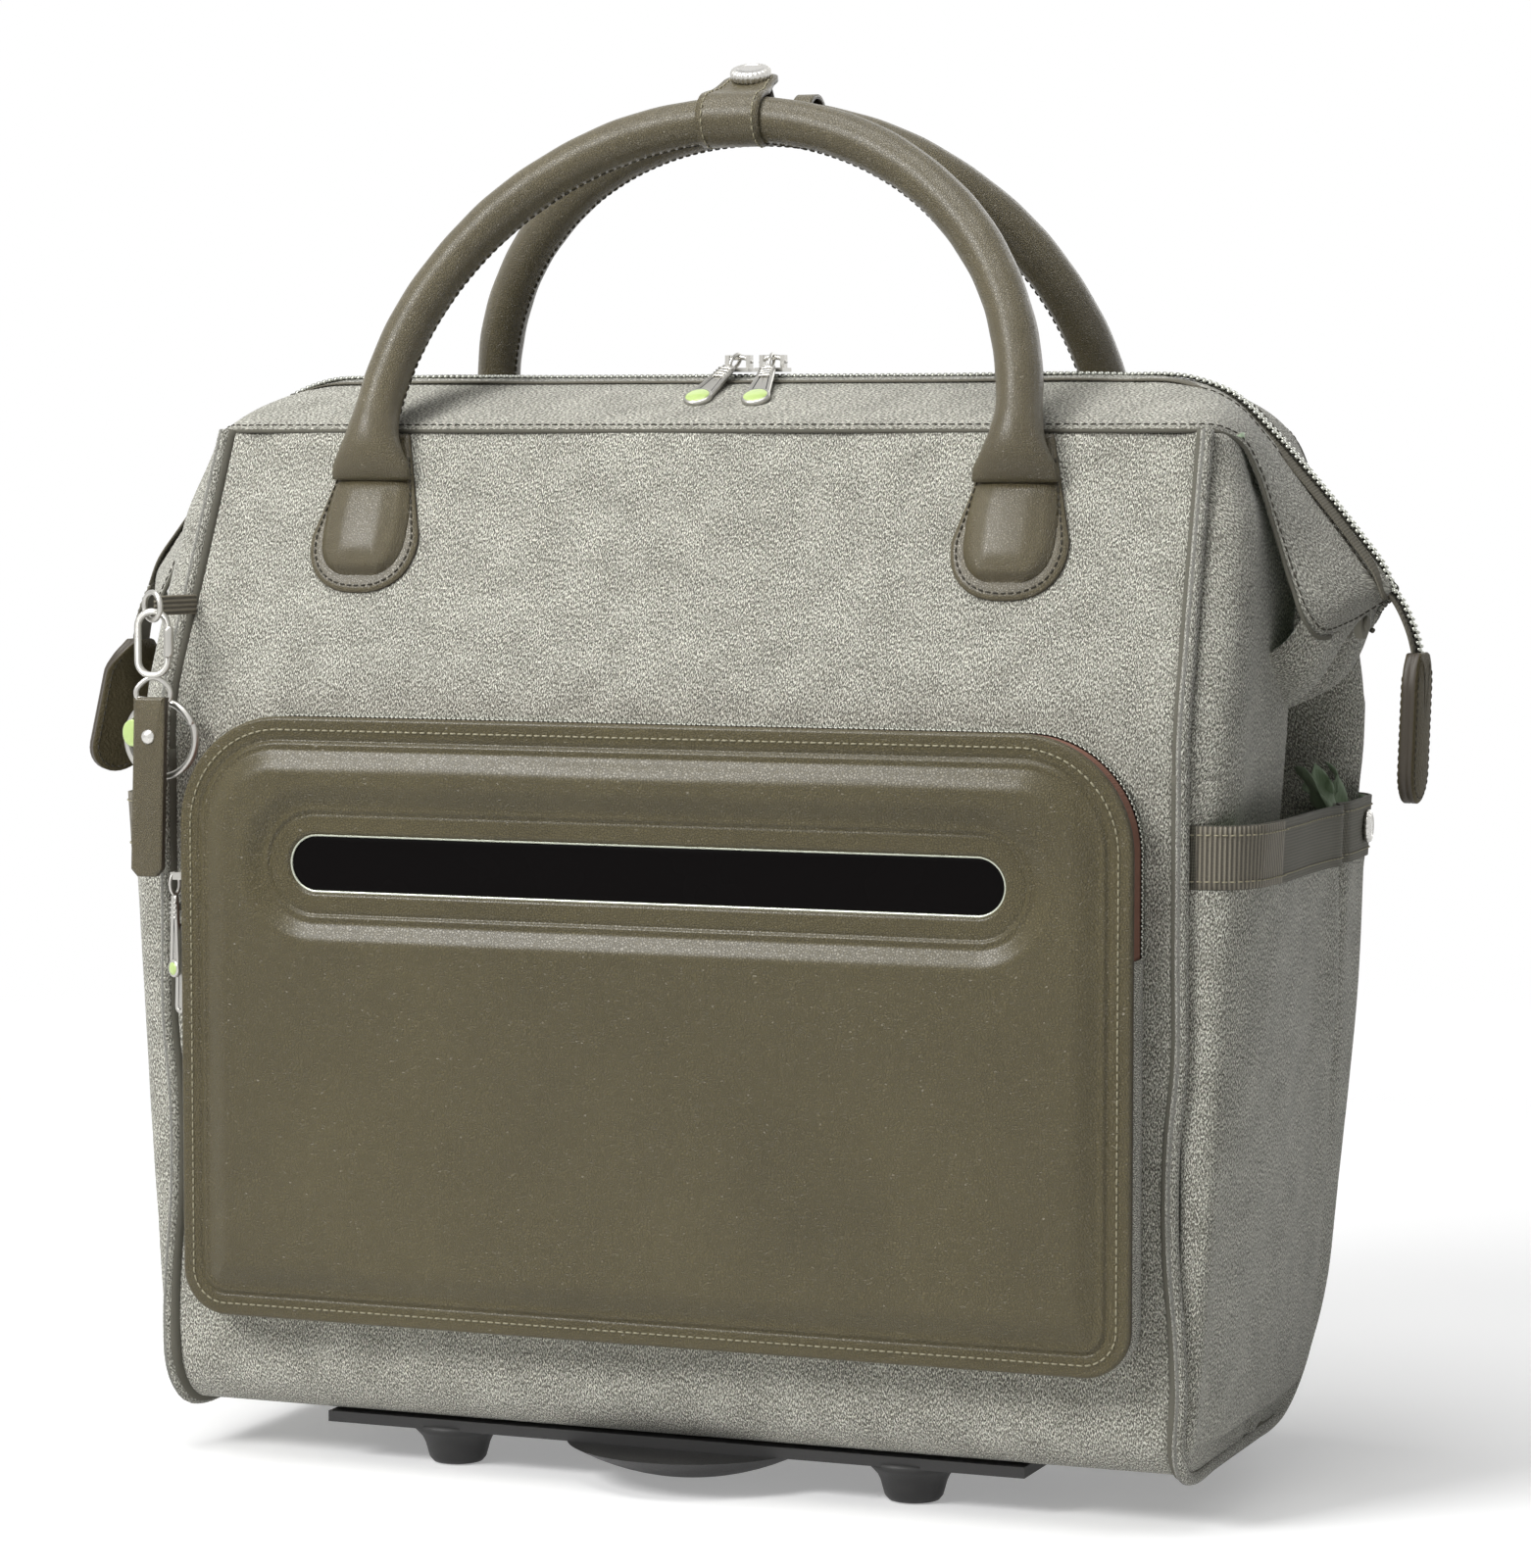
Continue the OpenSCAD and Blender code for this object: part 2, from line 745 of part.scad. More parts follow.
// Pull with its eye at the origin, bar along X, lying towards -Y.
module pull_body(length, width, eye_w) {
    difference() {
        union() {
            translate([-eye_w / 2, 0, 0]) rotate([0, 90, 0]) cylinder(r = 2, h = eye_w);
            box([-eye_w / 2, -10, -0.8], [eye_w / 2, -1, 0.8]);
        }
        translate([-4, 0, 0]) rotate([0, 90, 0]) cylinder(r = 1.06, h = 8);
    }
    translate([0, -9 - (length - 9) / 2, -1.2]) linear_extrude(2.4)
        rounded(width, length - 9, width / 2 - 0.4);
}

module main_pull() {
    translate([0, mid_y, pull_bar_z]) rotate([pull_drop, 0, 0]) pull_body(38, 9, 5.2);
}

left_slider_x = -3;
right_slider_x = 12;

module left_slider() { color(STEEL) translate([left_slider_x, 0, 0]) zip_slider(); }
module left_pull() { color(STEEL) translate([left_slider_x, 0, 0]) main_pull(); }
module right_slider() { color(STEEL) translate([right_slider_x, 0, 0]) zip_slider(); }
module right_pull() { color(STEEL) translate([right_slider_x, 0, 0]) main_pull(); }

pocket_slider_y = front_y - 6;
pocket_bar_out = 5;                  // distance of a pull's bar from the pocket wall
pocket_eye_w = 2.4;
upper_slider_z = 240;
lower_slider_z = 227;
upper_pull_y = front_y - 11.3;
lower_pull_y = front_y - 6.9;

// Slider on the left wall of the front pocket; its bar runs along Y.
module pocket_slider(z, bar_y) {
    translate([-pocket_x, 0, z]) {
        box([-1.6, pocket_slider_y - 4.5, -5.5], [0.6, pocket_slider_y + 4.5, 5.5]);
        box([-1.6, bar_y - 2.3, -1.5], [0.6, bar_y + 2.3, 1.5]);
        for (s = [-1, 1]) translate([0, bar_y + s * 1.85, 0]) box([-6.2, -0.45, -1.5], [-1, 0.45, 1.5]);
        translate([-pocket_bar_out, bar_y + 1.9, 0]) rotate([90, 0, 0]) cylinder(r = 1, h = 3.8);
    }
}

module pocket_pull(z, bar_y, length) {
    translate([-pocket_x - pocket_bar_out, bar_y, z]) rotate([90, 0, 90]) pull_body(length, 4, pocket_eye_w);
}

module upper_pocket_slider() { color(STEEL) pocket_slider(upper_slider_z, upper_pull_y); }
module upper_pocket_pull() { color(STEEL) pocket_pull(upper_slider_z, upper_pull_y, 41); }
module lower_pocket_slider() { color(STEEL) pocket_slider(lower_slider_z, lower_pull_y); }
module lower_pocket_pull() { color(STEEL) pocket_pull(lower_slider_z, lower_pull_y, 44); }

// ---------- zip-end tails ----------
tail_w = 26;

// Folded tape and padded leather end tab, hanging outside the wing tip.
module tail() {
    along_y(mid_y - tail_w / 2 + 3, mid_y + tail_w / 2 - 3)
        polygon([[tip_x + 1.2, wing_z - 4], [tip_x + 3.6, wing_z - 2], [tip_x + 13, 330], [tip_x + 10, 330]]);
    translate([tip_x + 11.5, mid_y, 331]) rotate([0, -7.5, 0]) rotate([90, 0, 90]) translate([0, 0, -3.2])
        linear_extrude(6.4) {
            translate([-tail_w / 2, -42]) square([tail_w, 42]);
            translate([0, -42]) circle(tail_w / 2);
        }
}

module right_tail() { color(LEATHER) tail(); }
module left_tail() { color(LEATHER) mirror([1, 0, 0]) tail(); }

// ---------- key leash ----------
leash_x = -213.4;
leash_y = front_y - 15;
leash_turn = 21;                     // the hook is turned this far about the vertical
d_ring_z = 349.6;                    // middle of the D-ring
d_ring_r = 5;
hook_h = 29;
hook_w = 15;
hook_r = 1.5;
hook_z1 = d_ring_z - d_ring_r + 1.2 + 2 * hook_r; // top of the hook
hook_z0 = hook_z1 - hook_h;
gate_z0 = hook_z0 + 9;
gate_z1 = hook_z0 + 21;

module at_leash() {
    translate([leash_x, leash_y, 0]) rotate([0, 0, leash_turn]) children();
}

// Webbing tab out of the side seam, and the D-ring that it holds.
module leash_anchor() {
    color(STEEL) at_leash() translate([0, 0, d_ring_z]) rotate([0, 90, 0]) rotate_extrude()
        translate([d_ring_r, 0]) circle(1.1, $fn = 32);
    color("#6f6b5c") at_leash() {
        box([-1.8, -0.6, d_ring_z - 0.2], [9, 0.6, d_ring_z + 3.6]);
        box([7.8, 0.6, d_ring_z - 3], [9, 28.4, d_ring_z + 3.6]);
    }
}

// Upright loop of round wire in the XZ plane, with its lower end at z = 0.
module wire_loop(w, h, r) {
    for (s = [0, 1]) translate([0, 0, w / 2 + r + s * (h - w - 2 * r)]) rotate([90, 0, 0])
        rotate_extrude(angle = 180, start = s * 180 + 180) translate([w / 2, 0]) circle(r, $fn = 32);
    for (s = [-1, 1]) translate([s * w / 2, 0, w / 2 + r]) cylinder(r = r, h = h - w - 2 * r, $fn = 32);
}

module snap_hook() {
    color(STEEL) at_leash() {
        difference() {
            translate([0, 0, hook_z0]) wire_loop(hook_w - 2 * hook_r, hook_h, hook_r);
            box([hook_w / 2 - 4, -3, gate_z0 - join_gap], [hook_w / 2 + 2, 3, gate_z1 + join_gap]);
        }
        translate([0, 0, hook_z0 - 3.6]) cylinder(r = 2.2, h = 4.5);
        translate([0, 0, hook_z0 - 4.6]) cylinder(r = 3.4, h = 1.4);
    }
}

module hook_gate() {
    color(STEEL) at_leash() translate([hook_w / 2 - hook_r, 0, gate_z0])
        cylinder(r = hook_r, h = gate_z1 - gate_z0, $fn = 32);
}

strap_top = hook_z0 - 5;
strap_w = 14;
strap_t = 3.6;
strap_len = 78;
strap_y = leash_y - 0.8;
ring_r = 16.5;
ring_y = front_y - 8.5;

module key_strap() {
    color(LEATHER) {
        translate([leash_x, strap_y + strap_t / 2, strap_top - strap_len / 2]) rotate([90, 0, 0])
            linear_extrude(strap_t) rounded(strap_w, strap_len - 2, 1.4);
        translate([leash_x, strap_y - strap_t / 2 + 0.2, strap_top - 17]) rotate([90, 0, 0])
            cylinder(r = 2.6, h = 1.6);
    }
}

module key_ring() {
    color(STEEL) translate([leash_x, ring_y, strap_top - 3 - ring_r]) rotate([90, 0, 0]) difference() {
        translate([0, 0, -0.7]) cylinder(r = ring_r, h = 1.4);
        translate([0, 0, -2]) cylinder(r = ring_r - 3, h = 4);
    }
}

front_panel();
back_panel();
color(FABRIC) mirror([1, 0, 0]) side_panel();  // left_side_panel
color(FABRIC) side_panel();  // right_side_panel
bottom_panel();
pipings();
lining();
base_board();
back_board();
laptop_divider();
pocket_wall();
pocket_zip();
pocket_face();
pocket_window();
bottle_pockets();
pocket_webbings();
pocket_snaps();
base_tray();
front_feet();
wheel_housings();
wheel_axles();
trolley_outer_tubes();
trolley_collar();
trolley_foot();
fasteners();
leash_anchor();
color(BLACK) mirror([1, 0, 0]) tyre();  // left_tyre
color(STEEL) mirror([1, 0, 0]) hub();  // left_hub
color(BLACK) tyre();  // right_tyre
color(STEEL) hub();  // right_hub
trolley_mid_tubes();
trolley_inner_tubes();
trolley_grip();
trolley_button();
front_frame();
front_band();
front_zip();
front_patches();
rear_frame();
rear_band();
rear_zip();
rear_patches();
front_handle();
handle_wrap();
snap_cap();
rear_handle();
left_slider();
left_pull();
right_slider();
right_pull();
upper_pocket_slider();
upper_pocket_pull();
lower_pocket_slider();
lower_pocket_pull();
left_tail();
right_tail();
snap_hook();
hook_gate();
key_strap();
key_ring();
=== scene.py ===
import math

import bpy
import numpy as np
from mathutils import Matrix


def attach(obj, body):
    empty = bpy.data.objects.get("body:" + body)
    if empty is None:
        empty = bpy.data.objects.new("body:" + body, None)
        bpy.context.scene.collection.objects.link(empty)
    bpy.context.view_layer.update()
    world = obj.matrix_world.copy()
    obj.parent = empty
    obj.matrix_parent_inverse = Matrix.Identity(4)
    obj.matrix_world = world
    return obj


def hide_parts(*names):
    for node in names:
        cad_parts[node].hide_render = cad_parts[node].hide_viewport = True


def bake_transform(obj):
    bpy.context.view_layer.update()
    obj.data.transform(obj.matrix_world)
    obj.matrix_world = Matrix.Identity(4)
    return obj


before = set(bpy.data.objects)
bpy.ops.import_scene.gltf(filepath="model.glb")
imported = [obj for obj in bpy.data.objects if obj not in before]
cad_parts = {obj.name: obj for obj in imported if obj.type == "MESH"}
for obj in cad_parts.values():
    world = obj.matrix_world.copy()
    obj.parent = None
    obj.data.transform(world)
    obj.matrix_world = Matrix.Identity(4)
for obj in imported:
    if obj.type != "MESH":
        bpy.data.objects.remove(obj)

# ---- Camera, floor and light ----
# A still-life table: the case stands three quarters on, seen from a little above its handles' height,
# on a pale seamless floor under large soft lamps.
scene = bpy.context.scene
scene.view_settings.view_transform = "Standard"
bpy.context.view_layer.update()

lens = bpy.data.cameras.new("view")
lens.lens = 110.27
lens.sensor_width = 36
camera = bpy.data.objects.new("view", lens)
camera.location = (0.7278, -1.8245, 0.4169)
camera.rotation_euler = (math.radians(90 - 4.11), 0, math.radians(21.45))
scene.collection.objects.link(camera)
scene.camera = camera


def lamp(name, place, aim, power, size):
    """A square soft lamp at a place, turned to an aim point."""
    light = bpy.data.lights.new(name, "AREA")
    light.energy, light.size = power, size
    holder = bpy.data.objects.new(name, light)
    holder.location = place
    away = np.subtract(place, aim)
    holder.rotation_euler = (math.acos(away[2] / np.linalg.norm(away)), 0,
                             math.atan2(away[1], away[0]) + math.pi / 2)
    scene.collection.objects.link(holder)


lamp("key", (-1.3, -2.1, 2.0), (0, 0, 0.3), 70, 1.1)
lamp("fill", (2.4, -1.8, 1.0), (0, 0, 0.25), 0.6, 1.8)
lamp("top", (-0.2, -0.5, 2.3), (0, 0, 0.3), 32, 1.4)
lamp("back", (0.6, 2.4, 1.4), (0, 0, 0.3), 14, 1.8)


class Value:
    """A shader socket that can be used in sums."""

    def __init__(self, tree, socket):
        self.tree, self.socket = tree, socket

    def sum(self, operation, a, b=None):
        node = self.tree.nodes.new("ShaderNodeMath")
        node.operation = operation
        for socket, value in zip(node.inputs, (a, b)):
            if isinstance(value, Value):
                self.tree.links.new(value.socket, socket)
            elif value is not None:
                socket.default_value = value
        return Value(self.tree, node.outputs[0])

    def __add__(self, other): return self.sum("ADD", self, other)
    def __radd__(self, other): return self.sum("ADD", other, self)
    def __sub__(self, other): return self.sum("SUBTRACT", self, other)
    def __rsub__(self, other): return self.sum("SUBTRACT", other, self)
    def __mul__(self, other): return self.sum("MULTIPLY", self, other)
    def __rmul__(self, other): return self.sum("MULTIPLY", other, self)
    def __truediv__(self, other): return self.sum("DIVIDE", self, other)
    def __pow__(self, other): return self.sum("POWER", self, other)
    def __gt__(self, other): return self.sum("GREATER_THAN", self, other)


def tone(red, green, blue):
    """A colour as it is seen, 0 to 255, turned into the light it gives back."""
    return tuple((v / 255 / 12.92 if v < 10.3 else ((v / 255 + 0.055) / 1.055) ** 2.4)
                 for v in (red, green, blue)) + (1,)


class Finish:
    """A material: its nodes come from node(), and what they make is laid on with on()."""

    def __init__(self, name, colour=(200, 200, 200), rough=0.6, **fixed):
        self.material = bpy.data.materials.new(name)
        self.material.use_nodes = True
        self.tree = self.material.node_tree
        self.shader = self.tree.nodes["Principled BSDF"]
        self.on(**{"Base Color": tone(*colour), "Roughness": rough})
        self.on(**{key.replace("_", " "): value for key, value in fixed.items()})

    def fill(self, socket, value):
        if isinstance(value, Value):
            self.tree.links.new(value.socket, socket)
        else:
            socket.default_value = value

    def on(self, **sockets):
        for key, value in sockets.items():
            self.fill(self.shader.inputs[key], value)
        return self

    def node(self, kind, settings=None, links=None, output=0):
        node = self.tree.nodes.new("ShaderNode" + kind)
        for key, value in (settings or {}).items():
            setattr(node, key, value)
        for key, value in (links or {}).items():
            self.fill(node.inputs[key], value)
        return Value(self.tree, node.outputs[output])

    def mix(self, share, a, b):
        """Two colours mixed by a share from 0 to 1."""
        return self.node("Mix", {"data_type": "RGBA"}, {0: share, 6: a, 7: b}, 2)

    def place(self, scale=(1, 1, 1), turn=0, uv=None):
        """Where a point is: on the cut cloth, or in the piece itself, scaled and turned."""
        spot = (self.node("UVMap", {"uv_map": uv}) if uv
                else self.node("TexCoord", output="Object"))
        return self.node("Mapping", links={"Vector": spot, "Scale": scale, "Rotation": (0, 0, turn)})

    def noise(self, where, scale, detail=2.0, rough=0.5):
        return self.node("TexNoise", links={"Vector": where, "Scale": scale, "Detail": detail,
                                            "Roughness": rough})

    def soft_step(self, value, low, high, start=0.0, end=1.0):
        return self.node("MapRange", {"interpolation_type": "SMOOTHSTEP"},
                         {0: value, 1: low, 2: high, 3: start, 4: end})

    def bump(self, height, depth, strength=1.0):
        """A relief of that depth in metres on the surface."""
        self.on(Normal=self.node("Bump", links={"Height": height, "Distance": depth,
                                                "Strength": strength}))
        return self


floor_paper = Finish("floor_paper", (232, 232, 232), 0.9)
floor_paper.material.surface_render_method = "BLENDED"
tree = floor_paper.tree
ray = tree.nodes.new("ShaderNodeLightPath")
seen = Value(tree, ray.outputs["Is Camera Ray"]) + Value(tree, ray.outputs["Is Glossy Ray"]) \
    + Value(tree, ray.outputs["Is Transmission Ray"])
radius = floor_paper.node("VectorMath", {"operation": "LENGTH"},
                          {0: floor_paper.node("TexCoord", output="Object")}, 1)
floor_paper.on(**{"Emission Color": (1, 1, 1, 1)})
floor_paper.on(**{"Alpha": floor_paper.soft_step(radius, 1.1, 1.7, 1.0, 0.0)})
glow = floor_paper.node("Emission", links={"Color": (1, 1, 1, 1), "Strength": 0.3 * seen})
paper = floor_paper.node("AddShader", links={0: Value(tree, floor_paper.shader.outputs[0]), 1: glow})
clear = floor_paper.node("BsdfTransparent")
edge = floor_paper.soft_step(radius, 1.1, 1.7)
both = floor_paper.node("MixShader", links={0: edge, 1: paper, 2: clear})
floor_paper.on(Alpha=1.0)
tree.links.new(both.socket, tree.nodes["Material Output"].inputs["Surface"])

sheet_mesh = bpy.data.meshes.new("floor")
sheet_mesh.from_pydata([(-2, -2, 0), (2, -2, 0), (2, 2, 0), (-2, 2, 0)], [], [(0, 1, 2, 3)])
sheet_mesh.materials.append(floor_paper.material)
floor = bpy.data.objects.new("floor", sheet_mesh)
scene.collection.objects.link(floor)

world = bpy.data.worlds.new("studio")
scene.world = world
world.use_nodes = True
sky = world.node_tree
path = sky.nodes.new("ShaderNodeLightPath")
seen = Value(sky, path.outputs["Is Camera Ray"]) + Value(sky, path.outputs["Is Glossy Ray"]) \
    + Value(sky, path.outputs["Is Transmission Ray"])
strength = 0.12 + 0.88 * (seen > 0.5)
background = sky.nodes["Background"]
background.inputs["Color"].default_value = (1, 1, 1, 1)
sky.links.new(strength.socket, background.inputs["Strength"])


# ---- Front wall ----
# The big front panel of heathered canvas: it rolls under the front bottom edge, stands up to the
# zip's shoulder and leans back to the seam under the leather band. Sewn into the pipings.
LEAN = 0.4144
FOLD_Z = 310
FRONT_Y, BACK_Y, MID_Y = -92, 104, 6


def smooth(points, count):
    """That many points, evenly spaced on a smooth curve through the given ones."""
    p = np.asarray(points, float)
    h = np.maximum(np.linalg.norm(np.diff(p, axis=0), axis=1), 1e-6)
    t = np.concatenate([[0], np.cumsum(h)])
    d = np.diff(p, axis=0) / h[:, None]
    m = np.vstack([d[:1], (h[:-1, None] * d[1:] + h[1:, None] * d[:-1]) / (h[:-1] + h[1:])[:, None],
                   d[-1:]])
    s = np.linspace(0, t[-1], max(240, count * 4))
    i = np.clip(np.searchsorted(t, s, "right") - 1, 0, len(h) - 1)
    u = ((s - t[i]) / h[i])[:, None]
    k = h[i][:, None]
    curve = ((2 * u**3 - 3 * u**2 + 1) * p[i] + (u**3 - 2 * u**2 + u) * k * m[i]
             + (3 * u**2 - 2 * u**3) * p[i + 1] + (u**3 - u**2) * k * m[i + 1])
    return spaced(curve, count)


def spaced(points, count):
    """That many points, evenly spaced along straight runs between the given ones."""
    p = np.asarray(points, float)
    t = np.concatenate([[0], np.cumsum(np.linalg.norm(np.diff(p, axis=0), axis=1))])
    s = np.linspace(0, t[-1], count)
    return np.stack([np.interp(s, t, p[:, a]) for a in range(p.shape[1])], axis=1)


def between(x, table):
    """The value at x from a table of (x, value), eased smoothly between its entries."""
    xs, ys = np.array(table, float).T
    x = np.asarray(x, float)
    i = np.clip(np.searchsorted(xs, x, "right") - 1, 0, len(xs) - 2)
    secant = np.diff(ys) / np.diff(xs)
    slope = np.concatenate([secant[:1], np.zeros(len(xs) - 2), secant[-1:]])
    same = secant[:-1] * secant[1:] > 0
    slope[1:-1][same] = 2 * secant[:-1][same] * secant[1:][same] / (secant[:-1] + secant[1:])[same]
    h = xs[i + 1] - xs[i]
    u = np.clip((x - xs[i]) / h, 0, 1)
    return ((2 * u**3 - 3 * u**2 + 1) * ys[i] + (u**3 - 2 * u**2 + u) * h * slope[i]
            + (3 * u**2 - 2 * u**3) * ys[i + 1] + (u**3 - u**2) * h * slope[i + 1])


def normals_of(rows, out):
    """The unit normal at each point of a grid, on the side of out."""
    n = np.cross(np.gradient(rows, axis=0), np.gradient(rows, axis=1))
    n /= np.maximum(np.linalg.norm(n, axis=2, keepdims=True), 1e-9)
    return n if (n * out).sum() > 0 else -n


def make(name, points, faces, finishes, ids=None, flat=False):
    """A mesh object from points in millimetres."""
    mesh = bpy.data.meshes.new(name)
    mesh.from_pydata((np.asarray(points, float) * 0.001).tolist(), [], [tuple(f) for f in faces])
    for finish in finishes:
        mesh.materials.append(finish.material)
    if ids is not None:
        mesh.polygons.foreach_set("material_index", ids)
    if not flat:
        mesh.shade_smooth()
    mesh.update()
    thing = bpy.data.objects.new(name, mesh)
    scene.collection.objects.link(thing)
    return thing


def cloth(name, rows, out, finishes, thick=1.2, gaps=None):
    """A cut piece of cloth from a grid of points, with its outer face on the side of out, one direction
    or one for each point. The second finish is its inner face. gaps marks the quads that are cut away."""
    rows = np.asarray(rows, float)
    n, m = rows.shape[:2]
    index = np.arange(n * m).reshape(n, m)
    quads = np.stack([index[:-1, :-1], index[:-1, 1:], index[1:, 1:], index[1:, :-1]], axis=2)
    quads = quads[~gaps] if gaps is not None else quads.reshape(-1, 4)
    raw = np.cross(np.gradient(rows, axis=0), np.gradient(rows, axis=1))
    if (raw * out).sum() > 0:
        quads = quads[:, ::-1]
    across = np.concatenate([np.zeros((n, 1)),
                             np.cumsum(np.linalg.norm(np.diff(rows, axis=1), axis=2), axis=1)], 1)
    across -= across[:, m // 2:m // 2 + 1]
    along = np.concatenate([np.zeros((1, m)),
                            np.cumsum(np.linalg.norm(np.diff(rows, axis=0), axis=2), axis=0)], 0)
    piece = make(name, rows.reshape(-1, 3), quads.tolist(), finishes)
    uv = np.stack([across.ravel(), along.ravel()], axis=1) * 0.001
    layer = piece.data.uv_layers.new(name="cloth")
    corner = np.zeros(len(piece.data.loops), int)
    piece.data.loops.foreach_get("vertex_index", corner)
    layer.data.foreach_set("uv", uv[corner].ravel())
    if thick:
        shell = piece.modifiers.new("thickness", "SOLIDIFY")
        shell.thickness = thick * 0.001
        shell.offset = -1
        if len(finishes) > 1:
            shell.material_offset = 1
    return piece


def cut(rows):
    """Measures a cloth piece's size along its own threads; the result is not kept."""
    rows = np.asarray(rows, float)
    width = np.linalg.norm(np.diff(rows, axis=1), axis=2).sum(1).max() * 0.001
    length = np.linalg.norm(np.diff(rows, axis=0), axis=2).sum(0).max() * 0.001
    a, b = rows[1:, 1:] - rows[:-1, :-1], rows[1:, :-1] - rows[:-1, 1:]
    area = float(np.linalg.norm(np.cross(a, b), axis=2).sum()) / 2 * 1e-6
    min(area, width * length)


def canvas(name, shade=1.0):
    """Heathered polyester canvas: pale and dark flecks lying on both diagonals of a fine twill."""
    f = Finish(name, rough=0.86, Sheen_Weight=0.25, Sheen_Roughness=0.5)
    flecks = None
    for turn, seed in ((0.78, 0), (-0.78, 7)):
        where = f.node("VectorMath", {"operation": "ADD"},
                       {0: f.place((1, 0.42, 1), turn, "cloth"), 1: (seed, seed, 0)})
        one = f.soft_step(f.noise(where, 2100, 1.0, 0.6), 0.38, 0.62)
        flecks = one if flecks is None else flecks * 0.5 + one * 0.5
    patch = f.noise(f.place(uv="cloth"), 60, 2.0)
    level = flecks * 0.8 + patch * 0.25
    dark = tone(82 * shade, 80 * shade, 70 * shade)
    middle = tone(155 * shade, 153 * shade, 141 * shade)
    pale = tone(238 * shade, 237 * shade, 225 * shade)
    colour = f.mix(f.soft_step(level, 0.25, 0.55), dark, middle)
    f.on(**{"Base Color": f.mix(f.soft_step(level, 0.55, 0.85), colour, pale)})
    rib = f.node("TexWave", {"bands_direction": "DIAGONAL"},
                 {"Vector": f.place(uv="cloth"), "Scale": 420, "Distortion": 1.5, "Detail": 1})
    return f.bump(flecks * 0.7 + rib * 0.3, 0.0004, 0.9)


shell_canvas = canvas("shell_canvas")
mint_lining = Finish("mint_lining", (168, 188, 158), 0.75, Sheen_Weight=0.2)
weave = mint_lining.node("TexWave", links={"Vector": mint_lining.place(), "Scale": 260,
                                           "Distortion": 1.2, "Detail": 1})
mint_lining.bump(weave, 0.00015, 0.5)

HALF_W = ((18, 213), (60, 215.3), (105, 211.8), (150, 211.8), (180, 214.5), (310, 214.5), (360, 212.6),
          (421, 210))


def front_line(z):
    """How far forward the front wall stands at a height."""
    z = np.asarray(z, float)
    y = FRONT_Y + LEAN * np.maximum(z - FOLD_Z, 0)
    near = np.clip(1 - np.abs(z - FOLD_Z) / 14, 0, 1)
    y = y + 1.6 * near**2
    under = np.clip(42 - z, 0, 22)
    return y + 22 - np.sqrt(np.maximum(22**2 - under**2, 0))


def front_profile():
    """Points (y, z) up the front wall, from under the case to the band."""
    under = [(-40, 20.0), (-58, 20.0), (-70, 20.0)]
    round_edge = [(-70 - 22 * math.sin(a), 42 - 22 * math.cos(a)) for a in np.linspace(0.15, 1.57, 9)]
    up = [(float(front_line(z)), z) for z in np.linspace(48, 421, 62)]
    return np.array(under + round_edge + up)


profile = front_profile()
rows = []
for y, z in profile:
    half = float(between(max(z, 18), HALF_W))
    x = np.linspace(-half, half, 73)
    sag = 1.4 * np.cos(np.clip(x / half, -1, 1) * math.pi / 2) * math.sin(math.pi * np.clip((z - 30) / 380,
                                                                                            0, 1))
    ripple = 0.5 * np.sin(x * 0.045 + z * 0.021) * np.clip((z - 320) / 40, 0, 1)
    rows.append(np.stack([x, np.full_like(x, y) - sag - ripple, np.full_like(x, z)], axis=1))
front_rows = np.array(rows)
front_wall = cloth("front_wall", front_rows, (0, -1, 0), [shell_canvas, mint_lining])
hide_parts("front_panel")
cut(front_rows)
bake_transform(front_wall)


# ---- Base and back wall ----
# The bottom of canvas over a stiff board, rounded up into the back wall, with cut-outs for the two
# wheels. Sewn into the pipings; the back wall stops at the trolley's board.
REAR_C, REAR_R = (39, 85), 65
WHEEL = (86, 28)


def rear_line(z):
    """How far back the back wall stands at a height below the fold."""
    z = np.asarray(z, float)
    under = np.clip(REAR_C[1] - z, 0, REAR_R)
    return BACK_Y - REAR_R + np.sqrt(np.maximum(REAR_R**2 - under**2, 0))


under = [(y, 20.0) for y in np.linspace(-46, 36, 14)]
turn = [(REAR_C[0] + REAR_R * math.sin(a), REAR_C[1] - REAR_R * math.cos(a))
        for a in np.linspace(0.05, 1.57, 18)]
rise = [(104.0, z) for z in np.linspace(92, 310, 36)]
rows = []
for y, z in under + turn + rise:
    x = np.linspace(-214.5, 214.5, 87)
    puff = 1.5 * np.cos(x / 214.5 * math.pi / 2) * np.clip((z - 100) / 60, 0, 1) * np.clip((300 - z) / 60,
                                                                                           0, 1)
    rows.append(np.stack([x, np.full_like(x, y) + puff, np.full_like(x, z)], axis=1))
rows = np.array(rows)
middle = (rows[:-1, :-1] + rows[1:, 1:]) / 2
gaps = ((np.abs(middle[:, :, 0]) > 157) & (np.abs(middle[:, :, 0]) < 205)
        & (np.hypot(middle[:, :, 1] - WHEEL[0], middle[:, :, 2] - WHEEL[1]) < 34))
base = cloth("base_and_back", rows, (0, 0.3, -1), [shell_canvas, mint_lining], gaps=gaps)
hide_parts("bottom_panel", "back_panel")
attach(base, "root")
cut(rows)

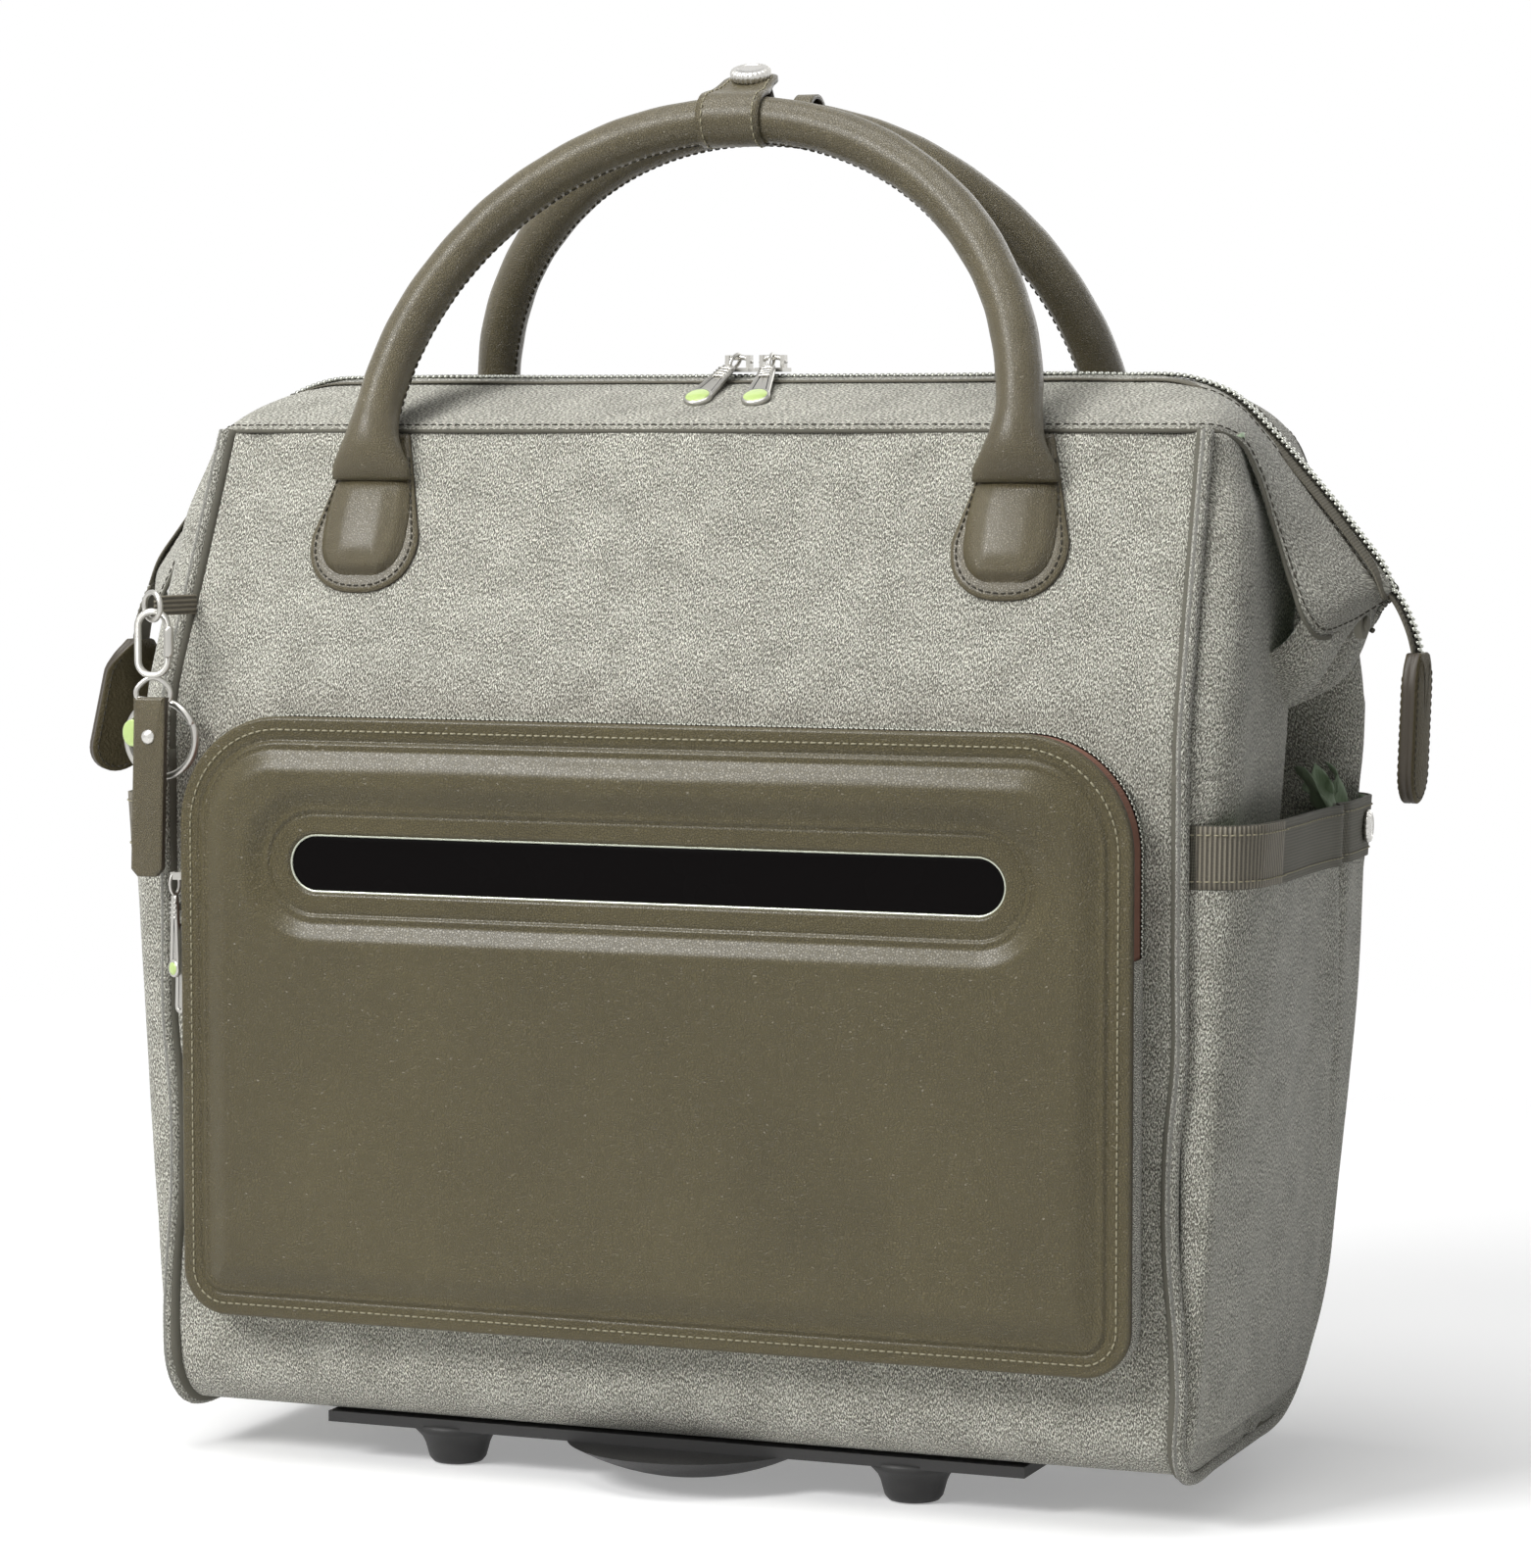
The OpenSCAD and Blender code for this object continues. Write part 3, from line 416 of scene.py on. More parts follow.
# ---- Upper back wall and trolley cover ----
# Above the wheels' board the back leans forward to the rear band on both sides of the trolley, whose
# tubes run inside a shallow canvas box that stays upright.
HEIGHTS = np.linspace(308, 421, 30)
for name, x0, x1 in (("upper_back_left", -214.5, -97), ("upper_back_right", 97, 214.5),
                     ("upper_back_middle", -97, 97)):
    rows = []
    for z in HEIGHTS:
        half = float(between(z, HALF_W)) / 214.5
        x = np.linspace(x0 * (half if abs(x0) > 100 else 1), x1 * (half if abs(x1) > 100 else 1), 30)
        y = np.full_like(x, BACK_Y + 0.3 - LEAN * max(z - FOLD_Z, 0))
        if name == "upper_back_middle":
            y = np.minimum(y, 84.3)
        rows.append(np.stack([x, y, np.full_like(x, z)], axis=1))
    part = cloth(name, rows, (0, 1, 0), [shell_canvas, mint_lining])
    cut(rows)
    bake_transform(part)

rows = []
for z in np.linspace(300, 384, 12):
    corner = [(-95.5, 86.0), (-95.5, 102.0), (-93.5, 104.0), (-40, 104.4), (40, 104.4), (93.5, 104.0),
              (95.5, 102.0), (95.5, 86.0)]
    ring = spaced([(x, y, z) for x, y in corner], 60)
    rows.append(ring)
cover = cloth("trolley_cover", rows, (0, 1, 0), [shell_canvas, mint_lining])
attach(cover, "root")
cut(rows)
lid = []
for share in np.linspace(0, 1, 6):
    ring = spaced([(-95.5, 86.0, 384.4), (-95.5, 104.0, 384.4), (95.5, 104.0, 384.4), (95.5, 86.0, 384.4)],
                  50)
    heart = spaced([(-80, 90.0, 384.4), (-80, 98.0, 384.4), (80, 98.0, 384.4), (80, 90.0, 384.4)], 50)
    lid.append(ring * (1 - share) + heart * share)
lid = cloth("trolley_cover_top", lid, (0, 0, 1), [shell_canvas], 0.8)
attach(lid, "root")

# ---- Side walls and gussets ----
# Each side is one panel that puffs out past the pipings low down and, from the pockets' mouths up, is
# folded like a bellows: front and rear strips stand proud and the middle tucks in under the zip.
EDGE_X = ((20, 216), (60, 219), (120, 222), (200, 224), (240, 227), (256, 228.5), (290, 230), (318, 231),
          (345, 233), (365, 235), (384, 231.5), (400, 227), (419, 220))
EDGE_Y = ((20, 0), (240, 0), (290, 2), (345, 2), (365, 1), (384, -4), (400, -14), (419, -29))
TUCK_X = ((20, 217), (120, 219.5), (200, 219.5), (250, 214), (265, 208), (275, 198), (295, 178),
          (318, 166), (345, 164),
          (384, 176), (400, 184), (419, 196))
TUCK_Y = ((20, 10), (60, 12), (120, 20), (200, 26), (240, 30), (285, 36), (318, 36), (345, 30), (365, 18),
          (384, 12),
          (400, 8), (419, 6.4))
REAR_X = ((20, 216), (120, 221), (240, 231), (272, 236), (300, 238), (345, 237), (384, 229), (419, 219))
SINK = ((262, 0), (300, 20), (345, 21), (384, 9), (419, 0))
ROLL = ((20, 2), (240, 6), (272, 14), (290, 18), (318, 18), (345, 18), (384, 17), (405, 12), (419, 8))


def side_section(z):
    """The side's cross-section at a height, in two runs: front piping to tuck, and tuck to rear piping."""
    xp = float(between(max(z, 18), HALF_W)) + 1
    y0 = float(front_line(z))
    y1 = float(rear_line(z)) if z < 310 else 12 - y0
    xe, ye = float(between(z, EDGE_X)), float(between(z, EDGE_Y))
    xt, yt = float(between(z, TUCK_X)), float(between(z, TUCK_Y))
    roll = float(between(z, ROLL))
    xr = float(between(z, REAR_X))
    depth = min(1.0, (y1 - y0) / 196)
    sink = float(between(max(z, 262), SINK))
    front = [(xp, y0), (xp + roll * 0.75, y0 + 7), (xp + roll, y0 + 17),
             (xp + roll * 0.97, y0 + 34 * depth),
             (0.5 * (xp + roll + xe), 0.5 * (y0 + 30 + ye)), (xe, ye - 6), (xe - 1, ye + 1),
             (0.5 * (xe + xt), 0.6 * ye + 0.4 * yt + 2), (xt, yt)]
    back = [(xt, yt), (0.45 * xt + 0.55 * xp - sink, 0.5 * (yt + y1 - 44 * depth) + 0.3 * sink),
            (xp + 0.3 * (xr - xp) - 1.1 * sink, y1 - 42 * depth + 0.35 * sink),
            (xp + 0.85 * (xr - xp), y1 - 18), (xr, y1 - 12), (xr - 2.5, y1 - 5), (xp + 3, y1 - 0.5),
            (xp, y1)]
    if z < 250:
        back = back[:3] + [(xp + 0.6 * (xr - xp), y1 - 25), (xp + 0.6 * (xr - xp), y1 - 12),
                           (xp + 2, y1 - 2), (xp, y1)]
    front = smooth(front, 34) if z > 235 else spaced(smooth(front, 60), 34)
    return front, smooth(back, 40)


LOW = np.concatenate([[22, 26, 31, 37], np.linspace(44, 292, 40)])
HIGH = np.linspace(289, 419, 34)


def side_rows(heights, part, side):
    rows = []
    for z in heights:
        run = side_section(z)[part]
        wave = 0.8 * np.sin(run[:, 1] * 0.05 + z * 0.045) + 0.5 * np.sin(run[:, 1] * 0.11 - z * 0.03)
        hold = np.sin(np.linspace(0, math.pi, len(run)))
        x = run[:, 0] + wave * hold * min(1, max(0, (z - 40) / 60))
        rows.append(np.stack([side * x, run[:, 1], np.full(len(run), z)], axis=1))
    return np.array(rows)


side_grids = {}
for side, word in ((-1, "left"), (1, "right")):
    for part, end in ((0, "front"), (1, "rear")):
        wall_rows = side_rows(LOW, part, side)
        low = cloth(f"{word}_side_{end}", wall_rows, (side, 0, 0), [shell_canvas, mint_lining])
        cut(wall_rows)
        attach(low, "root")
        if part == 0:
            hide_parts(f"{word}_side_panel")
        grid = side_rows(HIGH, part, side)
        side_grids[word, end] = grid
        high = cloth(f"{word}_gusset_{end}", grid, (side, 0, 0), [shell_canvas, mint_lining])
        cut(grid)
        if part == 0:
            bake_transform(high)
        else:
            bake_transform(high)
    for end, jaw, flip in (("front", "front_jaw", 1), ("rear", "rear_jaw", -1)):
        rows = []
        for z in np.linspace(334, 418, 18):
            xt, yt = float(between(z, TUCK_X)), float(between(z, TUCK_Y))
            far = MID_Y - flip * 24
            rows.append(spaced([(side * (xt + 14 if end == "front" else xt + 4), far, z),
                                (side * (xt - 4), MID_Y - flip * 10, z), (side * (xt - 6), MID_Y, z)], 12))
        web = cloth(f"{word}_web_{end}", rows, (side, 0, 0), [shell_canvas, mint_lining], 0.8)
        cut(rows)
        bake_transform(web)

# ---- Pipings ----
# A cord in a canvas bias strip along every side seam: up the front corner from underneath, along the
# bottom edge and up the back corner. A dark tube along each seam is painted shade in the crease where
# the strip is sewn down.


def frames_along(path, up=None):
    """Tangent, side and up directions along a path, carried without twist or kept to a given up."""
    t = np.gradient(path, axis=0)
    t /= np.maximum(np.linalg.norm(t, axis=1, keepdims=True), 1e-9)
    if up is not None:
        u = np.broadcast_to(np.asarray(up, float), t.shape).copy()
    else:
        u = np.zeros_like(t)
        seed = np.array([0, 0, 1.0]) if abs(t[0][2]) < 0.9 else np.array([1.0, 0, 0])
        u[0] = seed
        for i in range(1, len(t)):
            u[i] = u[i - 1] - np.dot(u[i - 1], t[i]) * t[i]
            u[i] /= max(np.linalg.norm(u[i]), 1e-9)
    u -= (u * t).sum(1, keepdims=True) * t
    u /= np.maximum(np.linalg.norm(u, axis=1, keepdims=True), 1e-9)
    return t, np.cross(u, t), u


def sweep(name, path, section, finishes, up=None, scale=None, closed=False, uv=False):
    """A section of (side, up) points carried along a path, its open ends capped flat."""
    path = np.asarray(path, float)
    section = np.asarray(section, float)
    t, s, u = frames_along(path, up)
    n, k = len(path), len(section)
    scale = np.ones((n, 2)) if scale is None else np.asarray(scale, float)
    if scale.ndim == 1:
        scale = np.stack([scale, scale], axis=1)
    points = (path[:, None] + s[:, None] * (section[None, :, :1] * scale[:, None, :1])
              + u[:, None] * (section[None, :, 1:] * scale[:, None, 1:]))
    faces = []
    for i in range(n if closed else n - 1):
        j = (i + 1) % n
        faces += [(i * k + a, i * k + (a + 1) % k, j * k + (a + 1) % k, j * k + a) for a in range(k)]
    if not closed:
        faces += [tuple(range(k))[::-1], tuple((n - 1) * k + a for a in range(k))]
    thing = make(name, points.reshape(-1, 3), faces, finishes)
    if uv:
        length = np.concatenate([[0], np.cumsum(np.linalg.norm(np.diff(path, axis=0), axis=1))])
        girth = np.concatenate([[0], np.cumsum(np.linalg.norm(np.diff(section, axis=0), axis=1))])
        table = np.stack([np.tile(girth, n), np.repeat(length, k)], axis=1) * 0.001
        layer = thing.data.uv_layers.new(name="cloth")
        corner = np.zeros(len(thing.data.loops), int)
        thing.data.loops.foreach_get("vertex_index", corner)
        layer.data.foreach_set("uv", table[corner].ravel())
    return thing


def round_section(radius, sides=12, wide=1.0):
    return [(radius * wide * math.cos(a), radius * math.sin(a))
            for a in np.linspace(0, 2 * math.pi, sides, endpoint=False)]


def flat_section(width, thick, sides=3):
    """A flat strip's section with rounded edges."""
    r = thick / 2
    turn = np.linspace(-math.pi / 2, math.pi / 2, sides + 2)
    right = [(width / 2 - r + r * math.cos(a), r * math.sin(a)) for a in turn]
    return right + [(-x, -y) for x, y in right]


piping_canvas = canvas("piping_canvas", 0.93)
# Flat dark colour for painted shade, laid on thin tubes in the seams' creases.
seam_shadow = Finish("seam_shadow", (96, 94, 84), 0.95)
PIPE_R = 2.7
for side, word in ((-1, "left"), (1, "right")):
    def pipe_point(z, y):
        return (side * (float(between(max(z, 18), HALF_W)) + 1.2), y, z)
    lower = [pipe_point(z, 12 - float(front_line(z)) if z > 310 else float(rear_line(z)) + 0.4)
             for z in (292, 240, 190, 140, 110, 88)]
    lower += [pipe_point(REAR_C[1] - (REAR_R + 1) * math.sin(a), REAR_C[0] + (REAR_R + 1) * math.cos(a))
              for a in np.linspace(0.2, 1.5, 9)]
    lower += [pipe_point(19, y) for y in (20, -10, -40)]
    lower += [pipe_point(42 - 23 * math.cos(a), -70 - 23 * math.sin(a)) for a in np.linspace(0.1, 1.5, 7)]
    lower += [pipe_point(z, -92.6) for z in (52, 75, 105, 150, 180, 220, 260, 292)]
    cord = sweep(f"{word}_piping", smooth(lower, 150), round_section(PIPE_R), [piping_canvas], uv=True)
    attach(cord, "root")
    if side == -1:
        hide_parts("pipings")
    # A dark tube sunk along the piping is painted shade in the crease beside it.
    sunk = smooth(lower, 150) - (side * 1.7, 0, 0)
    inward = np.array([0, MID_Y, 200]) - sunk
    inward[:, 0] = 0
    sunk += inward / np.linalg.norm(inward, axis=1, keepdims=True) * 1.7
    groove_shade = sweep(f"{word}_piping_seam", sunk, round_section(3.05, 10), [seam_shadow])
    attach(groove_shade, "root")
    for end, jaw, w0, w1 in (("front", "front_jaw", 0.290, 0.364), ("rear", "rear_jaw", 0.310, 0.358)):
        upper = [pipe_point(z, float(front_line(z)) - 0.6 if end == "front"
                            else 12.6 - float(front_line(z)))
                 for z in np.linspace(288, 420, 24)]
        cord = sweep(f"{word}_piping_{end}", smooth(upper, 50), round_section(PIPE_R), [piping_canvas],
                     uv=True)
        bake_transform(cord)
        # The same painted crease shade along the upper pipings.
        sunk = smooth(upper, 50) + (-side * 1.7, 1.7 if end == "front" else -1.7, 0)
        groove_shade = sweep(f"{word}_piping_seam_{end}", sunk, round_section(3.05, 10), [seam_shadow])
        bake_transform(groove_shade)


# ---- Mouth bands ----
# Two canvas bands close the top of the case along the zip. Each is lapped over the wall's top edge with
# one row of stitching, and runs out past the side into a stiff wing that hangs down to a point.
SEAM_TO_ZIP = [
    (0, -46, 421, 0, 442), (60, -46, 421, 60, 442), (120, -46, 421, 118, 442), (180, -46, 421, 165, 442),
    (203, -46, 421, 184, 441), (214, -41.5, 420.5, 198, 437.5), (221, -34, 416, 208, 432),
    (227, -31.5, 404, 219, 421.5), (234, -33, 384, 232, 408), (242, -36, 362, 245, 393),
    (248, -38, 348, 255, 381.5), (252, -34, 342, 261, 374), (257, -20, 343.5, 266, 368),
    (263, -4, 348.5, 269, 364), (267, 1.5, 352, 271, 361)]
half_band = smooth(SEAM_TO_ZIP, 110)
whole_band = np.vstack([half_band[:0:-1] * (-1, 1, 1, -1, 1), half_band])
ZIP_EDGE = 3.1                    # the cloth's edge stands this far off the zip's middle


def inset_line(rows, normals, distance, last=False):
    """A line on a grid at a distance from its first column, or its last, with the normals there."""
    if last:
        rows, normals = rows[:, ::-1], normals[:, ::-1]
    line, facing = [], []
    for run, up in zip(rows, normals):
        t = np.concatenate([[0], np.cumsum(np.linalg.norm(np.diff(run, axis=0), axis=1))])
        line.append([np.interp(distance, t, run[:, a]) for a in range(3)])
        facing.append([np.interp(distance, t, up[:, a]) for a in range(3)])
    return np.array(line), np.array(facing)


def scatter(name, shape, faces, spots, finishes):
    """Copies of a small shape in one mesh, each at (place, along, up)."""
    shape = np.asarray(shape, float)
    points, quads = [], []
    for i, (place, along, up) in enumerate(spots):
        along = np.asarray(along, float) / np.linalg.norm(along)
        up = np.asarray(up, float) - np.dot(up, along) * along
        up = up / max(np.linalg.norm(up), 1e-9)
        basis = np.stack([along, np.cross(up, along), up])
        points.append(np.asarray(place) + shape @ basis)
        quads += [tuple(v + i * len(shape) for v in face) for face in faces]
    return make(name, np.vstack(points), quads, finishes)


def thread_shape(length, radius):
    """One stitch of thread, a short fat loop end to end, along its own first axis."""
    rings = [(-0.5, 0.35, -0.5), (-0.4, 0.95, 0.0), (0, 1.0, 0.25), (0.4, 0.95, 0.0), (0.5, 0.35, -0.5)]
    points = [(x * length, r * radius * math.cos(a), r * radius * math.sin(a) + lift * radius)
              for x, r, lift in rings for a in np.linspace(0, 2 * math.pi, 6, endpoint=False)]
    faces = [(i * 6 + k, (i + 1) * 6 + k, (i + 1) * 6 + (k + 1) % 6, i * 6 + (k + 1) % 6)
             for i in range(4) for k in range(6)]
    return points, faces + [(0, 1, 2, 3, 4, 5), (29, 28, 27, 26, 25, 24)]


def stitches(name, lines, finish, pitch=3.4, length=2.5, radius=0.38):
    """Rows of stitches along lines of (points, normals)."""
    spots = []
    for line, facing in lines:
        both = np.hstack([line, facing])
        size = np.linalg.norm(np.diff(line, axis=0), axis=1).sum()
        count = max(2, int(size / pitch))
        t = np.concatenate([[0], np.cumsum(np.linalg.norm(np.diff(line, axis=0), axis=1))])
        s = (np.arange(count) + 0.5) * size / count
        here = np.stack([np.interp(s, t, both[:, a]) for a in range(6)], axis=1)
        ahead = np.stack([np.interp(s + 0.5, t, both[:, a]) for a in range(3)], axis=1)
        back = np.stack([np.interp(s - 0.5, t, both[:, a]) for a in range(3)], axis=1)
        for spot, step in zip(here, ahead - back):
            if np.linalg.norm(step) > 1e-6:
                spots.append((spot[:3] + spot[3:] * radius * 0.35, step, spot[3:]))
    shape, faces = thread_shape(length, radius)
    return scatter(name, shape, faces, spots, [finish])


brown_thread = Finish("brown_thread", (52, 48, 37), 0.7)
pale_thread = Finish("pale_thread", (152, 146, 122), 0.7)
for word, jaw, flip in (("front", "front_jaw", 1), ("rear", "rear_jaw", -1)):
    rows = []
    for x, y, z, zx, zz in whole_band:
        start, end = np.array([x, y - 0.8, z]), np.array([zx, MID_Y - ZIP_EDGE, zz])
        u = np.linspace(0, 1, 16)[:, None]
        run = start * (1 - u) + end * u
        wing = min(1.0, max(0.0, (abs(x) - 205) / 20))
        top = np.array([np.sign(x) * 0.75 * wing, -0.55, 0.85 * (1 - wing) + 0.3 * wing])
        run = run + top / np.linalg.norm(top) * (1.4 + 2.2 * wing) * np.sin(math.pi * u)
        rows.append(run)
    rows = np.array(rows)
    if flip < 0:
        rows[:, :, 1] = 2 * MID_Y - rows[:, :, 1]
    out = (0, -flip * 0.5, 0.85)
    band = cloth(f"{word}_mouth_band", rows, out, [shell_canvas, mint_lining], 1.6)
    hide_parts(f"{word}_band")
    cut(rows)
    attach(band, jaw)
    facing = normals_of(rows, out)
    seam, seam_up = inset_line(rows, facing, 3.2)
    lines = [(seam, seam_up)]
    for part in (slice(0, 52), slice(-52, None)):
        lines.append(inset_line(rows[part], facing[part], 9, last=True))
    sewing = stitches(f"{word}_band_stitches", lines, brown_thread, 3.6, 2.6, 0.36)
    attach(sewing, jaw)
    # A thin dark cord under the band's lapped edge is painted shade in the gap there.
    under = rows[8:-8, 0] + np.array([0, flip * 0.2, -1.0])
    lap_shade = sweep(f"{word}_band_lap_shade", under, round_section(0.9, 8), [seam_shadow])
    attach(lap_shade, jaw)

# ---- Mouth zip ----
# A coarse metal zip: teeth clamped along the edges of two taupe tapes, one on each band. It runs the
# length of the top, down both wings, and out into the tails.
zip_tape_cloth = Finish("zip_tape_cloth", (104, 100, 88), 0.85)
zip_tape_cloth.bump(zip_tape_cloth.node("TexWave", {"bands_direction": "X"},
                    {"Vector": zip_tape_cloth.place(), "Scale": 380}), 0.0002, 0.5)
tooth_metal = Finish("tooth_metal", (164, 165, 156), 0.34, Metallic=1.0)
tooth_metal.on(Roughness=tooth_metal.noise(tooth_metal.place(), 900) * 0.25 + 0.2)

ZIP_LINE = [(0, 442.2), (80, 442.2), (160, 442.2), (190, 440.8), (206, 434.8), (222, 420.5), (240, 401),
            (258, 379.5), (268, 366), (272, 356)]
half_zip = smooth([(x, MID_Y, z) for x, z in ZIP_LINE], 160)
zip_path = np.vstack([half_zip[:0:-1] * (-1, 1, 1), half_zip])

TOOTH = [(a * 0.75, b, c) for b, c, w in ((0, 0, 1), (3.2, 0, 1), (3.2, 1.1, 1), (0, 1.1, 1))
         for a in (-1, 1)]
TOOTH += [(a * 0.45, b, 1.7) for b in (0.5, 2.7) for a in (-1, 1)]
TOOTH_FACES = [(0, 1, 3, 2), (2, 3, 5, 4), (6, 7, 1, 0), (0, 2, 4, 6), (1, 7, 5, 3),
               (4, 5, 11, 10), (6, 4, 10, 8), (5, 7, 9, 11), (7, 6, 8, 9), (8, 10, 11, 9)]


def teeth_along(name, path, outward, pitch, phase, reach, lift, finishes):
    """A row of teeth along a path; each reaches sideways from the path's middle."""
    t = np.concatenate([[0], np.cumsum(np.linalg.norm(np.diff(path, axis=0), axis=1))])
    s = np.arange(phase * pitch, t[-1], pitch)
    here = np.stack([np.interp(s, t, path[:, a]) for a in range(3)], axis=1)
    ahead = np.stack([np.interp(s + 0.8, t, path[:, a]) for a in range(3)], axis=1)
    back = np.stack([np.interp(s - 0.8, t, path[:, a]) for a in range(3)], axis=1)
    spots = []
    for spot, step in zip(here, ahead - back):
        if np.linalg.norm(step) < 1e-6:
            continue
        step = step / np.linalg.norm(step)
        up = np.cross(np.asarray(outward, float), step)
        up = up if up[2] + abs(up[0]) * 0.2 * np.sign(up[0] * (spot[0] or 1)) > 0 else -up
        spots.append((spot + up * lift, step if np.dot(np.cross(up, step), outward) > 0 else -step, up))
    shape = np.array(TOOTH) * (1, reach / 3.2, 1) + (0, 0.15, 0)
    return scatter(name, shape, TOOTH_FACES, spots, finishes)


for word, jaw, flip in (("front", "front_jaw", 1), ("rear", "rear_jaw", -1)):
    rows = []
    for x, y, z in zip_path:
        inward = np.array([-np.sign(x) * min(1, max(0, (abs(x) - 190) / 30)), 0, -1.0])
        inward = inward / np.linalg.norm(inward) * 0.9
        rows.append([np.array([x, MID_Y - flip * off, z]) + inward * (1 + 0.1 * off)
                     for off in (0.5, 3, 6, 9, 12)])
    tape = cloth(f"{word}_zip_tape", rows, (0, 0, 1), [zip_tape_cloth], 0.7)
    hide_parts(f"{word}_zip")
    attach(tape, jaw)
    teeth = teeth_along(f"{word}_zip_teeth", zip_path, (0, -flip, 0), 2.7, 0.5 if flip > 0 else 1.0, 3.2,
                        -0.6,
                        [tooth_metal])
    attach(teeth, jaw)

# ---- Zip tails ----
# Past each wing the zip's tape comes out doubled, and its end is sewn between the two layers of a padded
# leather tab that hangs by its own weight.
olive = Finish("olive_leather", (96, 88, 68), 0.42, Coat_Weight=0.38, Coat_Roughness=0.36,
               Specular_IOR_Level=0.4)
grain = olive.node("TexVoronoi", {"feature": "DISTANCE_TO_EDGE"},
                   {"Vector": olive.place(), "Scale": 1050, "Randomness": 1.0})
creases = olive.soft_step(grain, 0.0, 0.22)
cloud = olive.noise(olive.place(), 28, 3.0)
olive.on(**{"Base Color": olive.mix(cloud * 0.75 + creases * 0.3, tone(72, 64, 42), tone(108, 99, 72))})
olive.on(Roughness=0.42 - 0.08 * creases + 0.06 * cloud)
olive.bump(creases + cloud * 1.2, 0.0004, 0.9)
leather_edge = Finish("leather_edge", (62, 55, 44), 0.5)


def slab(name, outline, frame_at, layers, finishes, ids=None):
    """A flat leather piece: an outline given at several (inset, height) layers, closed at both ends.
    frame_at turns (across, along, height) into a place."""
    outline = np.asarray(outline, float)
    ahead, back = np.roll(outline, -1, axis=0), np.roll(outline, 1, axis=0)
    step = ahead - back
    inward = np.stack([-step[:, 1], step[:, 0]], axis=1)
    inward /= np.maximum(np.linalg.norm(inward, axis=1, keepdims=True), 1e-9)
    area = (outline[:, 0] * ahead[:, 1] - ahead[:, 0] * outline[:, 1]).sum()
    if area < 0:
        inward = -inward
    k = len(outline)
    points, faces, which = [], [], []
    for i, (inset, height) in enumerate(layers):
        ring = outline + inward * inset
        points += [frame_at(a, b, height) for a, b in ring]
        if i:
            faces += [((i - 1) * k + j, (i - 1) * k + (j + 1) % k, i * k + (j + 1) % k, i * k + j)
                      for j in range(k)]
            which += [ids[i] if ids else 0] * k
    low, high = len(points), len(points) + 1
    centre = outline.mean(0)
    points += [frame_at(*centre, layers[0][1]), frame_at(*centre, layers[-1][1])]
    last = (len(layers) - 1) * k
    faces += [(low, (j + 1) % k, j) for j in range(k)] + [(high, last + j, last + (j + 1) % k)
                                                          for j in range(k)]
    which += [0] * (2 * k)
    if area < 0:
        faces = [face[::-1] for face in faces]
    return make(name, points, faces, finishes, which)


tail_leather = Finish("tail_leather", (80, 73, 55), 0.62, Specular_IOR_Level=0.14)
where = tail_leather.place()
cloud = tail_leather.noise(where, 60, 3.0)
tail_leather.on(**{"Base Color": tail_leather.mix(cloud, tone(64, 58, 41), tone(92, 84, 62))})
tail_leather.bump(tail_leather.noise(where, 900, 3.0) + cloud, 0.0008, 1.0)
TAB_W = 26
TAB_TOP = {-1: 331, 1: 334}
for side, word in ((-1, "left"), (1, "right")):
    strip = smooth([(270.5, MID_Y, 358), (274.5, MID_Y, 352), (279, MID_Y, 342),
                    (282, MID_Y, TAB_TOP[side] - 4)], 26) * (side, 1, 1)
    rows = [[(x, MID_Y + w, z) for w in np.linspace(-6.5, 6.5, 9)] for x, y, z in strip]
    tape = cloth(f"{word}_tail_tape", rows, (side, 0, 0), [zip_tape_cloth], 1.0)
    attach(tape, f"{word}_tail_end")
    for flip, phase in ((-1, 0.5), (1, 1.0)):
        row = teeth_along(f"{word}_tail_teeth_{'front' if flip < 0 else 'rear'}", strip, (0, flip, 0), 2.7,
                          phase,
                          3.0, 0.5, [tooth_metal])
        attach(row, f"{word}_tail_end")

    lean_out = math.radians(-2 if side > 0 else 13)
    twist = math.radians(0 if side > 0 else -42)

    def tab_frame(a, b, h, side=side, lean_out=lean_out, twist=twist):
        """a across, b down from the tab's top, h outward."""
        turn = twist * min(1.0, b / 14)
        across, outward = a * math.cos(turn) - h * math.sin(turn), h * math.cos(turn) + a * math.sin(turn)
        x = 281.5 + b * math.sin(lean_out) + outward * math.cos(lean_out)
        return (side * x, MID_Y + across, TAB_TOP[side] - b * math.cos(lean_out)
                + h * math.sin(lean_out) * 0.2)

    half = TAB_W / 2
    arc = [(half * math.cos(a), 46 + half * math.sin(a)) for a in np.linspace(0, math.pi, 15)]
    outline = [(-half * 0.55, 0), (half * 0.55, 0), (half * 0.86, 5), (half, 12)] + arc + [(-half, 12),
                                                                                           (-half * 0.86,
                                                                                            5)]
    outline = spaced(outline + outline[:1], 61)[:-1]
    tab = slab(f"{word}_tail_tab", outline, tab_frame,
               [(3.0, -3.6), (0.5, -3.2), (0.0, -2.6), (0.0, -0.6), (0.35, -0.1), (0.0, 0.4), (0.0, 2.2),
                (0.6, 2.8),
                (3.5, 3.3), (8, 3.7)], [tail_leather, leather_edge], [0, 0, 0, 1, 1, 1, 1, 0, 0, 0])
    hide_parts(f"{word}_tail")
    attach(tab, f"{word}_tail_end")
    for face, height in ((1, 2.95), (-1, -3.4)):
        inner = [(a * 0.83, 46 + (b - 46) * 0.83 if b > 46 else b) for a, b in outline[3:57]]
        line = np.array([tab_frame(a, b, height) for a, b in inner if b > 6])
        up = np.broadcast_to(np.subtract(tab_frame(0, 30, face), tab_frame(0, 30, 0)), line.shape)
        sewing = stitches(f"{word}_tail_stitches_{'out' if face > 0 else 'in'}", [(line, up)],
                          brown_thread, 3.0, 2.2, 0.33)
        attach(sewing, f"{word}_tail_end")

